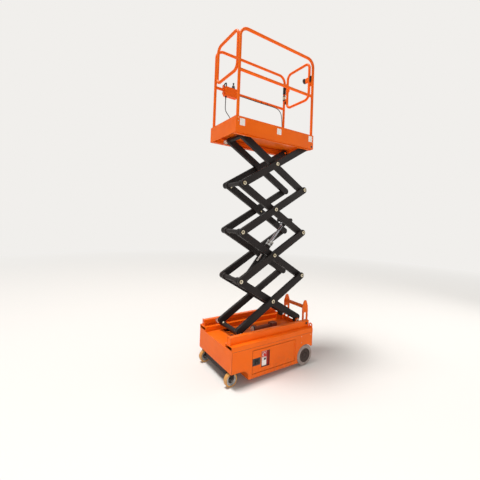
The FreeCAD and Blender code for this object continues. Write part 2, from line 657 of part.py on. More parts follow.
def pivot_lugs():
    """Two upright lugs at the rear that carry the fixed base pivots."""
    rise = "(ledge_top + rail_flange + roll_gap + base_roller)"
    corners = [("-pivot_x - lug_foot", "deck_top"), ("-pivot_x + lug_foot", "deck_top"),
               ("-pivot_x + pivot_radius", rise), ("-pivot_x + pivot_radius", rise + " + pivot_radius"),
               ("-pivot_x - pivot_radius", rise + " + pivot_radius"), ("-pivot_x - pivot_radius", rise)]
    middle = size.inner_face + size.lug_gap + size.lug_plate / 2
    plate = prism("pivot_lug_plate", "XZ_Plane", corners, "lug_plate",
                  rounds=((3, "lug_round"), (4, "lug_round")),
                  place=Placement(Vector(0, middle, 0), Rotation()))
    bore = rod("pivot_lug_bore", "arm_pin + pin_fit", "lug_plate * 3",
               (-size.pivot_x, middle - size.lug_plate * 1.5, base_pivot_z), Y_AXIS)
    left = cut("pivot_lug_left", plate, [bore])
    return [left, mirrored("pivot_lug_right", left)]


def wall_rim():
    """Rim on the floor's left wall: a band along its top that turns down at the rear end."""
    rear = "-chassis_long / 2 + rim_end"
    front = "chassis_long / 2 - sheet"
    corners = [(rear, "deck_top - sheet / 2"), (rear + " + rim_band", "deck_top - sheet / 2"),
               (rear + " + rim_band", "ledge_top - rim_band"), (front, "ledge_top - rim_band"),
               (front, "ledge_top"), (rear, "ledge_top")]
    inner = size.lid_inner - size.sheet - size.rim_proud
    return prism("wall_rim_left", "XZ_Plane", corners, "rim_proud + sheet / 2",
                 rounds=((5, "rim_round"), (2, "rim_round - rim_band")),
                 place=Placement(Vector(0, inner + (size.rim_proud + size.sheet / 2) / 2, 0), Rotation()))


def make_floor():
    """Floor between the lids with its walls and rims, the hatch behind the front deck and the pivot lugs."""
    corners = [("-lid_inner", "deck_top - sheet"), ("lid_inner", "deck_top - sheet"),
               ("lid_inner", "ledge_top"), ("lid_inner - sheet", "ledge_top"),
               ("lid_inner - sheet", "deck_top"), ("-lid_inner + sheet", "deck_top"),
               ("-lid_inner + sheet", "ledge_top"), ("-lid_inner", "ledge_top")]
    channel = prism("floor_channel", "YZ_Plane", corners, "chassis_long - 2 * sheet")
    hatch = block("floor_hatch", ("hatch_long", "2 * (lid_inner - hatch_rim)", "sheet * 3"),
                  (size.hatch_front - size.hatch_long, -size.lid_inner + size.hatch_rim,
                   size.deck_top - 2 * size.sheet))
    rim = wall_rim()
    node(fuse("floor_weldment", [cut("floor_cut", channel, [hatch]), rim, mirrored("wall_rim_right", rim)]
              + pivot_lugs()), "floor_deck")


def make_tray():
    """Belly tray between the wheel bays, open to the side doors."""
    corners = [("-tray_rear", "sill_bottom"), ("front_arch_back", "sill_bottom"),
               ("front_arch_back", "deck_top - sheet"),
               ("front_arch_back - sheet", "deck_top - sheet"),
               ("front_arch_back - sheet", "sill_bottom + sheet"),
               ("-tray_rear + sheet", "sill_bottom + sheet"),
               ("-tray_rear + sheet", "deck_top - sheet"), ("-tray_rear", "deck_top - sheet")]
    node(prism("tray_fold", "XZ_Plane", corners, "chassis_wide - 2 * lip_thick - 2 * sheet"),
         "belly_tray")


def make_rails():
    """Roller rails: channels open to the middle, on the side lids, with tabs at their feet."""
    corners = [("rail_web_face - rail_wide", "0"), ("rail_web_face", "0"),
               ("rail_web_face", "rail_tall"), ("rail_web_face - rail_wide", "rail_tall"),
               ("rail_web_face - rail_wide", "rail_tall - rail_flange"),
               ("rail_web_face - rail_flange", "rail_tall - rail_flange"),
               ("rail_web_face - rail_flange", "rail_flange"),
               ("rail_web_face - rail_wide", "rail_flange")]
    channel = prism("roller_rail_channel", "YZ_Plane", corners, "rail_long",
                    rounds=((1, "rail_flange"),), place=Placement(Vector(0, 0, size.ledge_top), Rotation()))
    insets = [size.tab_front] + [size.tab_first + step * size.tab_pitch for step in range(4)]
    tabs = [block("rail_tab_%d" % number, ("tab_long", "rail_flange + tab_high", "tab_high"),
                  (half_long - inset - size.tab_long / 2, size.rail_web_face - size.rail_flange,
                   size.ledge_top))
            for number, inset in enumerate(insets)]
    hole = rod("rail_web_hole", "web_hole", "rail_flange * 3",
               (-half_long + size.web_hole_inset, size.rail_web_face - size.rail_flange * 2,
                size.ledge_top + size.web_hole_rise), Y_AXIS)
    left = cut("roller_rail_left", fuse("roller_rail_weldment", [channel] + tabs), [hole])
    node(group("roller_rails_pair", [left, mirrored("roller_rail_right", left)]), "roller_rails")


def make_ladder():
    """Entry ladder behind the chassis: two slotted plates with pointed tips and a step."""
    corners = [("-ladder_face", "ladder_foot"), ("-ladder_front", "ladder_foot"),
               ("-ladder_front", "step_top"), ("-ladder_front - ladder_slope", "ladder_top"),
               ("-ladder_face + ladder_slope", "ladder_top"), ("-ladder_face", "step_top")]
    middle = size.ladder_half - size.ladder_plate / 2
    mid_x = -(size.ladder_front + size.ladder_face) / 2
    plate = prism("ladder_outline", "XZ_Plane", corners, "ladder_plate",
                  rounds=((3, "ladder_round"), (4, "ladder_round")),
                  place=Placement(Vector(0, middle, 0), Rotation()))
    slot = block("ladder_slot", ("hand_slot_wide", "ladder_plate * 3",
                                 "step_top - ladder_foot - hand_slot_foot - hand_slot_head"),
                 (mid_x - size.hand_slot_wide / 2, middle - size.ladder_plate * 1.5,
                  size.ladder_foot + size.hand_slot_foot))
    left = cut("ladder_plate_left", plate, [slot])
    tabs = [block("ladder_tab_%s_%d" % (side, level),
                  ("ladder_gap", "ladder_tab_wide", "ladder_tab_tall"),
                  (-size.ladder_front,
                   sign * (size.ladder_half - size.ladder_tab_wide / 2) - size.ladder_tab_wide / 2,
                   size.ladder_foot + size.ladder_tab_low + size.ladder_tab_pitch * level))
            for side, sign in (("left", 1), ("right", -1)) for level in (0, 1)]
    step = block("ladder_step", ("step_long", "2 * (ladder_half - ladder_plate)", "step_thick"),
                 (mid_x - size.step_long / 2, -size.ladder_half + size.ladder_plate,
                  size.step_top - size.step_thick))
    node(fuse("ladder_weldment", [left, mirrored("ladder_plate_right", left), step] + tabs),
         "entry_ladder")


def make_inside():
    """The battery and the hydraulic pump, as plain blocks."""
    node(block("battery", ("battery_long", "chassis_wide - 2 * battery_side", "battery_tall"),
               (-size.battery_long / 2, -half_wide + size.battery_side, size.sill_bottom + size.sheet)),
         "battery_block")
    motor_x = -size.pump_rear + size.manifold_long
    axis_z = size.deck_top + size.pump_rise
    motor = rod("pump_motor", "pump_body", "pump_long", (motor_x, size.pump_side, axis_z), X_AXIS)
    bell = rod("pump_bell", "pump_radius", "pump_bell_long",
               (motor_x + size.pump_long - size.pump_bell_long, size.pump_side, axis_z), X_AXIS)
    manifold = block("pump_manifold", ("manifold_long", "2 * manifold_half", "manifold_tall"),
                     (-size.pump_rear, size.pump_side - size.manifold_half, size.deck_top))
    foot = block("pump_foot", ("pump_foot_long", "pump_foot_long", "pump_foot_tall"),
                 (motor_x + (size.pump_long - size.pump_foot_long) / 2,
                  size.pump_side - size.pump_foot_long / 2, size.deck_top))
    node(fuse("pump_unit", [motor, bell, manifold, foot]), "hydraulic_pump")


# Side doors

def make_doors():
    """Side doors with the openings for the latch plate and the switch recess."""
    corner_y = half_wide - size.lip_thick - size.sheet
    panel = block("door_sheet",
                  ("door_front + door_rear - 2 * door_gap", "sheet",
                   "door_top - door_bottom - 2 * door_gap"),
                  (-size.door_rear + size.door_gap, corner_y, size.door_bottom + size.door_gap))
    vent_x = size.vent_mid_x - size.vent_long / 2
    vent_z = size.door_bottom + size.vent_rise - size.vent_tall / 2
    vent_hole = block("door_vent_hole", ("vent_long", "sheet * 3", "vent_tall"),
                      (vent_x, corner_y - size.sheet, vent_z))
    recess_x = size.recess_mid_x - size.recess_long / 2
    recess_z = size.door_bottom + size.recess_foot
    recess_hole = block("door_recess_hole", ("recess_long", "sheet * 3", "recess_tall"),
                        (recess_x, corner_y - size.sheet, recess_z))
    left = node(fuse("door_weldment", [cut("door_cut", panel, [vent_hole, recess_hole])]
                     + door_hinges(1, 0)), "door_left")
    node(mirrored("door_twin", left), "door_right")
    vent = block("latch_plate", ("vent_long", "sheet + vent_back", "vent_tall"),
                 (vent_x, corner_y - size.vent_back, vent_z))
    pan_y = corner_y + size.sheet - size.recess_deep
    pan = block("recess_pan", ("recess_long", "recess_deep", "recess_tall"), (recess_x, pan_y, recess_z))
    hollow = block("recess_hollow",
                   ("recess_long - 2 * recess_wall", "recess_deep", "recess_tall - 2 * recess_wall"),
                   (recess_x + size.recess_wall, pan_y + size.recess_wall, recess_z + size.recess_wall))
    fittings = node(group("door_fittings", [vent, cut("recess_cut", pan, [hollow])]),
                    "door_fittings_left")
    node(mirrored("door_fittings_twin", fittings), "door_fittings_right")


# Running gear

def make_drive_wheels():
    """Rear drive wheels, their hubs, and the motors with their brackets."""
    inner = size.drive_outer - size.drive_wide
    for side, sign in (("left", 1), ("right", -1)):
        place = Placement(Vector(-size.drive_x, sign * (size.drive_outer - size.drive_wide / 2),
                                 size.drive_wheel), Rotation(Z_AXIS, 0 if sign > 0 else 180))
        half = "drive_wide / 2"
        tyre = [("-" + half, "drive_rim"), (half, "drive_rim"), (half, "drive_wheel - tyre_shoulder"),
                (half + " - tyre_shoulder_wide", "drive_wheel"),
                ("-" + half + " + tyre_shoulder_wide", "drive_wheel"),
                ("-" + half, "drive_wheel - tyre_shoulder")]
        node(turned("drive_tyre_" + side, tyre, place), "drive_tyre_" + side)
        back = "-" + half + " + hub_back"
        hub = [(back, "shaft_radius + pin_fit"), (half + " - hub_dish", "shaft_radius + pin_fit"),
               (half + " - hub_dish", "hub_cone"), (half + " - hub_step", "hub_cone + hub_slope"),
               (half + " - hub_step", "drive_rim - 2 * hub_slope"),
               (half + " - hub_lip", "drive_rim - hub_slope"), (half + " - hub_lip", "drive_rim"),
               (back, "drive_rim")]
        node(turned("drive_hub_" + side, hub, place), "drive_hub_" + side)
    motor_start = inner - size.motor_long - size.motor_gap
    motor = rod("drive_motor", "motor_radius", "motor_long",
                (-size.drive_x, motor_start, size.drive_wheel), Y_AXIS)
    shaft = rod("drive_shaft", "shaft_radius", "drive_wide + motor_gap - shaft_short",
                (-size.drive_x, inner - size.motor_gap, size.drive_wheel), Y_AXIS)
    bracket = block("drive_bracket", ("2 * (motor_radius + bracket_over)", "bracket_thick",
                                      "deck_top - sheet - bracket_bottom"),
                    (-size.drive_x - size.motor_radius - size.bracket_over,
                     motor_start - size.bracket_thick, size.bracket_bottom))
    left = fuse("drive_unit_left", [motor, shaft, bracket])
    node(group("drive_units", [left, mirrored("drive_unit_right", left)]), "drive_motors")


def make_front_bay():
    """Plate over the front wheels that carries the fork bearings, and the cross beam below it."""
    top = size.crown_bottom + size.fork_plate + size.bay_gap
    plate = block("bay_plate_sheet", ("chassis_long / 2 - sheet - front_arch_back",
                                      "chassis_wide - 2 * lip_thick - 2 * sheet", "bay_plate"),
                  (size.front_arch_back, -half_wide + size.lip_thick + size.sheet, top))
    beam = block("cross_beam", ("beam_deep", "2 * beam_half",
                                "crown_bottom + fork_plate + bay_gap - beam_bottom"),
                 (size.caster_x - size.beam_deep / 2, -size.beam_half, size.beam_bottom))
    node(fuse("front_frame_weldment", [plate, beam]), "front_axle_frame")


def make_forks():
    """Steered forks: slewing bearing, crown, two tapered legs, axle and steering arm."""
    for side, sign in (("left", 1), ("right", -1)):
        y = sign * size.caster_y
        outer = size.fork_inside / 2 + size.fork_leg
        crown = block("fork_crown_" + side, ("2 * fork_half", "fork_inside + 2 * fork_leg", "fork_plate"),
                      (size.caster_x - size.fork_half, y - outer, size.crown_bottom))
        bearing = rod("fork_bearing_" + side, "pivot_radius", "bay_gap - seat_gap",
                      (size.caster_x, y, size.crown_bottom + size.fork_plate))
        legs = []
        for end, leg_y in (("in", y - outer + size.fork_leg / 2), ("out", y + outer - size.fork_leg / 2)):
            corners = [("-fork_foot", "caster_radius - fork_foot"),
                       ("fork_foot", "caster_radius - fork_foot"),
                       ("fork_half", "crown_bottom"), ("-fork_half", "crown_bottom")]
            legs.append(prism("fork_leg_%s_%s" % (side, end), "XZ_Plane", corners, "fork_leg",
                              rounds=((0, "fork_foot - 1"), (1, "fork_foot - 1")),
                              place=Placement(Vector(size.caster_x, leg_y, 0), Rotation())))
        axle = rod("fork_axle_" + side, "axle_radius", "fork_inside + 2 * (fork_leg + axle_end)",
                   (size.caster_x, y - outer - size.axle_end, size.caster_radius), Y_AXIS)
        arm = block("steer_arm_" + side, ("steer_arm + steer_half - fork_half", "2 * steer_half",
                                          "fork_plate"),
                    (size.caster_x - size.steer_arm - size.steer_half, y - size.steer_half,
                     size.crown_bottom))
        pin = rod("tie_pin_" + side, "tie_pin", "tie_thick + tie_pin_end",
                  (size.caster_x - size.steer_arm, y,
                   size.crown_bottom - size.tie_thick - size.tie_pin_end))
        node(fuse("fork_" + side, [crown, bearing, axle, arm, pin] + legs), "steering_fork_" + side)
    bar = block("tie_bar_flat", ("2 * tie_half", "2 * (caster_y + tie_over)", "tie_thick"),
                (size.caster_x - size.steer_arm - size.tie_half, -size.caster_y - size.tie_over,
                 size.crown_bottom - size.tie_thick - size.tie_gap))
    holes = [rod("tie_bar_hole_" + side, "tie_pin + pin_fit", "tie_thick * 3",
                 (size.caster_x - size.steer_arm, sign * size.caster_y, size.crown_bottom - size.tie_thick * 2))
             for side, sign in (("left", 1), ("right", -1))]
    node(cut("tie_bar_cut", bar, holes), "tie_bar")


def make_casters():
    """Front wheels: a tread on a dished hub."""
    for side, sign in (("left", 1), ("right", -1)):
        place = Placement(Vector(size.caster_x, sign * size.caster_y, size.caster_radius), Rotation())
        half = "caster_wide / 2"
        tread = [("-" + half, "caster_rim"), (half, "caster_rim"),
                 (half, "caster_radius - tread_shoulder"), (half + " - tread_shoulder", "caster_radius"),
                 ("-" + half + " + tread_shoulder", "caster_radius"),
                 ("-" + half, "caster_radius - tread_shoulder")]
        node(turned("caster_tread_" + side, tread, place), "front_tread_" + side)
        right = [(half + " + 2", "axle_radius + pin_fit"), (half + " + 2", "caster_nose"),
                 (half + " - caster_dish", "caster_nose + 2"),
                 (half + " - caster_dish", "caster_rim - caster_lip - 4"),
                 (half + " - 1", "caster_rim - caster_lip"), (half + " - 1", "caster_rim")]
        hub = right + [("-(%s)" % along, radius) for along, radius in reversed(right)]
        node(turned("caster_hub_" + side, hub, place), "front_hub_" + side)


# Scissor arms

def make_arm(name, stage, inner, boss):
    """Left arm of a pair: a round-ended tube, with a lower boss where it meets the base."""
    role = "XZ_Plane"
    end = "(arm_pitch / 2 + arm_end)"
    corners = [("-" + end, "-arm_tall / 2"), (end, "-arm_tall / 2"),
               (end, "arm_tall / 2"), ("-" + end, "arm_tall / 2")]
    side_y = (size.inner_face if inner else size.outer_face) - size.arm_wide / 2
    place = (inner_place if inner else outer_place)(stage)
    shift = Placement(Vector(0, side_y, 0), Rotation())
    arm = prism(name + "_tube", role, corners, "arm_wide",
                rounds=tuple((corner, "arm_tall / 2 - 1") for corner in range(4)),
                place=place.multiply(shift))
    boss_x = -size.arm_pitch / 2 if inner else size.arm_pitch / 2
    start_y = side_y - size.arm_wide / 2
    if boss:
        eye = rod(name + "_boss", "boss_radius", "arm_wide",
                  place.multVec(Vector(boss_x, start_y, -size.pivot_drop)), Y_AXIS)
        web = block(name + "_web", ("2 * boss_radius", "arm_wide", "pivot_drop"), (0, 0, 0))
        web.Placement = place.multiply(Placement(
            Vector(boss_x - size.boss_radius, start_y, -size.pivot_drop), Rotation()))
        arm = fuse(name + "_weldment", [arm, eye, web])
    if inner:
        return arm
    bores = [rod("%s_bore_%d" % (name, number), "arm_pin + pin_fit", "arm_wide * 2",
                 place.multVec(Vector(spot * size.arm_pitch / 2, start_y - size.arm_wide / 2, 0)), Y_AXIS)
             for number, spot in enumerate((-1, 0, 1)) if not (boss and spot == 1)]
    return cut(name + "_bored", arm, bores)


def make_arms():
    """Four stages of crossed arms, an inner pair inside an outer pair."""
    for stage in (1, 2, 3, 4):
        for kind, inner in (("inner", True), ("outer", False)):
            name = "%s_arm_%d" % (kind, stage)
            left = make_arm(name, stage, inner, boss=stage == 1)
            node(group(name + "_pair", [left, mirrored(name + "_right", left)]), name)


def make_cross_tubes():
    """Tubes across each inner pair at its front end, and the lugs that hold the cylinder."""
    span = "2 * (inner_face - arm_wide)"
    half_span = size.inner_face - size.arm_wide
    for stage in (1, 2, 3, 4):
        place = inner_place(stage)
        across = place.multVec(Vector(size.arm_pitch / 2, -half_span, 0))
        parts = [rod("cross_tube_%d_front" % stage, "cross_tube", span, across, Y_AXIS)]
        spots = {1: (size.lower_eye, 0), 3: (-size.upper_eye, -90)}
        if stage in spots:
            eye_x, lug_turn = spots[stage]
            turn = Rotation(Y_AXIS, lug_turn)
            across = Vector(eye_x, -half_span, 0) + turn.multVec(X_AXIS * size.eye_reach)
            tube = rod("cylinder_tube_%d" % stage, "cross_tube", span, place.multVec(across), Y_AXIS)
            lugs = [tube]
            for side, sign in (("left", 1), ("right", -1)):
                middle = sign * (size.eye_wide / 2 + size.eye_gap + size.lug_thick / 2)
                corners = [("-eye_radius", "-eye_radius"), ("eye_reach", "-eye_radius + lug_taper"),
                           ("eye_reach", "eye_radius - lug_taper"), ("-eye_radius", "eye_radius")]
                plate = prism("cylinder_lug_%d_%s" % (stage, side), "XZ_Plane", corners, "lug_thick",
                              rounds=((0, "eye_radius - eye_gap"), (3, "eye_radius - eye_gap")),
                              place=place.multiply(Placement(Vector(eye_x, middle, 0), turn)))
                stub_long = ("" if stage == 3 else "eye_gap + ") + "lug_thick + eye_pin_end"
                stub_from = size.eye_wide / 2 + (size.eye_gap if stage == 3 else 0)
                stub_start = place.multVec(Vector(eye_x, sign * stub_from, 0))
                stub = rod("cylinder_stub_%d_%s" % (stage, side), "arm_pin", stub_long, stub_start,
                           Y_AXIS * sign)
                lugs += [plate, stub]
            if stage == 1:
                lugs.append(rod("cylinder_pin", "arm_pin", "eye_wide",
                                place.multVec(Vector(eye_x, -size.eye_wide / 2, 0)), Y_AXIS))
            parts.append(fuse("cylinder_mount_%d" % stage, lugs))
        node(group("cross_tubes_%d" % stage, parts), "cross_tubes_%d" % stage)


def headed_pin(name, centre, sign, inner_y, outer_y):
    """A pin along Y with a round head on its outer end."""
    start = Vector(centre.x, sign * inner_y, centre.z)
    shaft = doc.addObject("Part::Cylinder", name + "_shaft")
    bind(shaft, "Radius", "arm_pin")
    shaft.Height = outer_y - inner_y
    shaft.Placement = Placement(start, Rotation(Z_AXIS, Y_AXIS * sign))
    head = rod(name + "_head", "pin_head", "head_thick",
               Vector(centre.x, sign * outer_y, centre.z), Y_AXIS * sign)
    return fuse(name, [shaft, head])


def washer(name, centre, sign):
    """Spacer ring on the inner arm's outer face, round the pin."""
    return rod(name, "pin_head + washer_rim", "arm_space - washer_gap",
               Vector(centre.x, sign * size.inner_face, centre.z), Y_AXIS * sign)


def make_pins():
    """Headed pins fixed in the inner arms, at both ends and in the middle."""
    for stage in (1, 2, 3, 4):
        place = inner_place(stage)
        half = size.arm_pitch / 2
        spots = [("rear", Vector(-half, 0, 0)), ("middle", Vector(0, 0, 0)), ("front", Vector(half, 0, 0))]
        pins = []
        for end, spot in spots:
            centre = place.multVec(spot)
            for side, sign in (("left", 1), ("right", -1)):
                name = "pin_%d_%s_%s" % (stage, end, side)
                if stage == 1 and end == "rear":
                    base = place.multVec(Vector(-half, 0, -size.pivot_drop))
                    pins.append(headed_pin(name, base, sign, size.inner_face,
                                           size.inner_face + size.lug_gap + size.lug_plate
                                           + 2 * size.head_gap))
                elif not (stage == 4 and end == "front"):
                    pins.append(fuse(name + "_set", [
                        headed_pin(name, centre, sign, size.inner_face,
                                   size.outer_face + size.head_gap),
                        washer(name + "_washer", centre, sign)]))
        node(group("pins_%d" % stage, pins), "arm_pins_%d" % stage)


def make_rollers():
    """Roller axles with their rollers: lower ones on the outer arms, upper ones on the inner."""
    low = outer_place(1).multVec(Vector(size.arm_pitch / 2, 0, -size.pivot_drop))
    inner_y = size.outer_face - size.arm_wide
    tube = rod("base_axle_tube", "cross_tube", "2 * (outer_face - arm_wide)",
               (low.x, -inner_y, low.z), Y_AXIS)
    roller_end = size.rail_web_face - size.rail_flange - size.roller_side_gap
    parts = [tube]
    for side, sign in (("left", 1), ("right", -1)):
        stub = doc.addObject("Part::Cylinder", "base_axle_" + side)
        bind(stub, "Radius", "arm_pin")
        stub.Height = roller_end - size.base_roller_wide - size.outer_face
        stub.Placement = Placement(Vector(low.x, sign * size.outer_face, low.z),
                                   Rotation(Z_AXIS, Y_AXIS * sign))
        roller = rod("base_roller_" + side, "base_roller", "base_roller_wide",
                     (low.x, sign * (roller_end - size.base_roller_wide), low.z), Y_AXIS * sign)
        parts.append(fuse("base_roller_set_" + side, [stub, roller]))
    node(group("base_rollers_group", parts), "base_rollers")

    high = inner_place(4).multVec(Vector(size.arm_pitch / 2, 0, 0))
    top_end = size.top_rail_web - size.top_rail_flange - size.roller_side_gap
    tops = []
    for side, sign in (("left", 1), ("right", -1)):
        stub = doc.addObject("Part::Cylinder", "top_axle_" + side)
        bind(stub, "Radius", "arm_pin")
        stub.Height = top_end - size.top_roller_wide - size.inner_face
        stub.Placement = Placement(Vector(high.x, sign * size.inner_face, high.z),
                                   Rotation(Z_AXIS, Y_AXIS * sign))
        roller = rod("top_roller_" + side, "top_roller", "top_roller_wide",
                     (high.x, sign * (top_end - size.top_roller_wide), high.z), Y_AXIS * sign)
        tops.append(fuse("top_roller_set_" + side, [stub, roller]))
    node(group("top_rollers_group", tops), "top_rollers")


def make_cylinder():
    """Lift cylinder between the first and the third inner arms."""
    low = inner_place(1).multVec(Vector(size.lower_eye, 0, 0))
    high = inner_place(3).multVec(Vector(-size.upper_eye, 0, 0))
    eye_to_eye = (high - low).Length
    along = (high - low).normalize()
    half_eye = size.eye_wide / 2
    eye = rod("barrel_eye", "eye_radius", "eye_wide", (low.x, -half_eye, low.z), Y_AXIS)
    tube = rod("barrel_tube", "barrel_radius", "barrel_long - eye_radius - eye_gap",
               low + along * (size.eye_radius + size.eye_gap), along)
    neck = rod("barrel_neck", "barrel_neck", "eye_radius + 2 * eye_gap", low, along)
    gland = rod("barrel_gland", "gland_radius", "gland_long",
                low + along * (size.barrel_long - size.gland_long), along)
    hole = rod("barrel_eye_hole", "arm_pin + pin_fit", "eye_wide * 2", (low.x, -size.eye_wide, low.z), Y_AXIS)
    bore = rod("barrel_bore", "rod_radius + pin_fit", "barrel_long",
               low + along * (size.eye_radius + size.barrel_base), along)
    node(cut("barrel_cut", fuse("barrel_weldment", [eye, tube, neck, gland]), [hole, bore]),
         "cylinder_barrel")
    rod_eye = rod("rod_eye", "eye_radius", "eye_wide", (high.x, -half_eye, high.z), Y_AXIS)
    shaft = doc.addObject("Part::Cylinder", "rod_shaft")
    bind(shaft, "Radius", "rod_radius")
    shaft.Height = eye_to_eye - size.barrel_long + size.rod_inside
    shaft.Placement = Placement(high, Rotation(Z_AXIS, along * -1))
    rod_hole = rod("rod_eye_hole", "arm_pin + pin_fit", "eye_wide * 2", (high.x, -size.eye_wide, high.z), Y_AXIS)
    node(cut("rod_cut", fuse("rod_weldment", [rod_eye, shaft]), [rod_hole]), "cylinder_rod")


# Platform

def make_platform():
    """Deck, toe board ring and the rails that run on the upper rollers."""
    toe_low = top_pin_z - size.toe_bottom
    half_y = size.platform_wide / 2
    deck = block("platform_plate",
                 ("platform_long - 2 * toe_thick", "platform_wide - 2 * toe_thick", "deck_thick"),
                 (platform_back + size.toe_thick, -half_y + size.toe_thick,
                  platform_top - size.deck_thick))
    node(deck, "platform_deck")
    outside = block("toe_outside", ("platform_long", "platform_wide", "toe_tall"),
                    (platform_back, -half_y, toe_low))
    inside = block("toe_inside", ("platform_long - 2 * toe_thick", "platform_wide - 2 * toe_thick",
                                  "toe_tall * 2"),
                   (platform_back + size.toe_thick, -half_y + size.toe_thick,
                    toe_low - size.toe_tall / 2))
    hole = rod("toe_hole_tool", "toe_hole", "platform_wide * 2",
               (platform_back + size.toe_hole_inset, -size.platform_wide, toe_low + size.toe_hole_rise),
               Y_AXIS)
    node(cut("toe_cut", outside, [inside, hole]), "toe_board")

    low = "(-top_roller - top_roll_gap - top_rail_flange)"
    high = "(top_roller + top_roll_gap)"
    corners = [("top_rail_web - top_rail_wide", low), ("top_rail_web", low),
               ("top_rail_web", "web_rise"), ("top_rail_web - top_rail_flange", "web_rise"),
               ("top_rail_web - top_rail_flange", high + " + top_rail_flange"),
               ("top_rail_web - top_rail_wide", high + " + top_rail_flange"),
               ("top_rail_web - top_rail_wide", high), ("top_rail_web - top_rail_flange", high),
               ("top_rail_web - top_rail_flange", low + " + top_rail_flange"),
               ("top_rail_web - top_rail_wide", low + " + top_rail_flange")]
    rail = prism("platform_rail_left", "YZ_Plane", corners, "platform_long - 2 * toe_thick",
                 place=Placement(Vector(platform_mid, 0, top_pin_z), Rotation()))
    lug_y = size.top_rail_web - size.top_rail_wide
    lug = block("platform_lug", ("4 * arm_pin", "top_lug_wide", "2 * (top_roller + top_roll_gap)"),
                (rear_pin_x - 2 * size.arm_pin, lug_y, top_pin_z - size.top_roller - size.top_roll_gap))
    pin = rod("platform_pin", "arm_pin",
              "top_rail_web - top_rail_wide + top_lug_wide - outer_face + arm_wide - top_pin_back",
              (rear_pin_x, size.outer_face - size.arm_wide + size.top_pin_back, top_pin_z), Y_AXIS)
    left = fuse("platform_rail_set", [rail, lug, pin])
    node(group("platform_rails_pair", [left, mirrored("platform_rail_right", left)]), "platform_rails")


def make_guardrails():
    """Bent-tube side frames with middle rails, and the front frame on its stubs."""
    y = size.side_y
    hoop = bent_tube("side_hoop", [(post_rear_x, y, platform_top), (post_rear_x, y, top_rail_z),
                                   (post_front_x, y, top_rail_z), (post_front_x, y, platform_top)],
                     "tube_radius", "side_bend")
    rail = rod("side_mid_rail", "tube_radius", "platform_long - post_front_inset - post_rear_inset",
               (post_rear_x, y, mid_rail_z), X_AXIS)
    left = fuse("side_frame_left", [hoop, rail])
    node(group("side_frames_pair", [left, mirrored("side_frame_right", left)]), "guardrail_sides")

    half = size.side_y - size.ring_inset
    low = top_rail_z - size.ring_tall
    ring = bent_tube("front_ring", [(post_front_x, -half, low), (post_front_x, half, low),
                                    (post_front_x, half, top_rail_z), (post_front_x, -half, top_rail_z)],
                     "tube_radius", "ring_bend", closed=True)
    stubs = [rod("ring_stub_%s_%d" % (side, level), "ring_stub", "ring_inset - tube_radius",
                 (post_front_x, sign * half, height), Y_AXIS * sign)
             for side, sign in (("left", 1), ("right", -1))
             for level, height in enumerate((low + size.stub_low, top_rail_z - size.stub_high))]
    node(fuse("front_frame", [ring] + stubs), "guardrail_front")


def make_gate():
    """Rear gate on two hinges with its catch, and a latch block on the other post."""
    low = top_rail_z - size.gate_tall
    near = size.side_y - size.gate_near_inset
    far = size.side_y - size.gate_far_inset
    axis_y = -size.side_y + size.gate_axis_inset
    ring = bent_tube("gate_ring", [(post_rear_x, -far, low), (post_rear_x, near, low),
                                   (post_rear_x, near, top_rail_z), (post_rear_x, -far, top_rail_z)],
                     "tube_radius", "ring_bend", closed=True)
    plates, barrels = [], []
    leaf_x = post_rear_x - size.gate_leaf / 2
    for level, height in enumerate((low + size.gate_hinge_low, top_rail_z - size.gate_hinge_high)):
        plates.append(block("gate_leaf_%d" % level,
                            ("gate_leaf", "gate_far_inset - gate_axis_inset", "knuckle_tall"),
                            (leaf_x, axis_y, height)))
        plates.append(rod("gate_knuckle_%d" % level, "gate_knuckle", "knuckle_tall",
                          (post_rear_x, axis_y, height)))
        foot = height - size.knuckle_tall - size.hinge_gap
        post_leaf = block("post_leaf_%d" % level,
                          ("gate_leaf", "gate_axis_inset - tube_radius", "knuckle_tall"),
                          (leaf_x, -size.side_y + size.tube_radius, foot))
        post_knuckle = rod("post_knuckle_%d" % level, "gate_knuckle", "knuckle_tall",
                           (post_rear_x, axis_y, foot))
        barrels.append(fuse("post_hinge_%d" % level, [post_leaf, post_knuckle]))
    plates.append(block("gate_catch", ("catch_deep", "catch_reach + tube_radius", "catch_tall"),
                        (post_rear_x - size.catch_deep / 2, near - size.tube_radius - size.catch_reach,
                         top_rail_z - size.catch_drop)))
    node(fuse("gate_frame", [ring] + plates), "rear_gate")
    latch = block("latch_block", ("latch_long", "latch_inset - tube_radius", "latch_tall"),
                  (post_rear_x - size.latch_long / 2, size.side_y - size.latch_inset,
                   top_rail_z - size.latch_drop))
    node(group("gate_fittings_group", barrels + [latch]), "gate_fittings")


# Controls

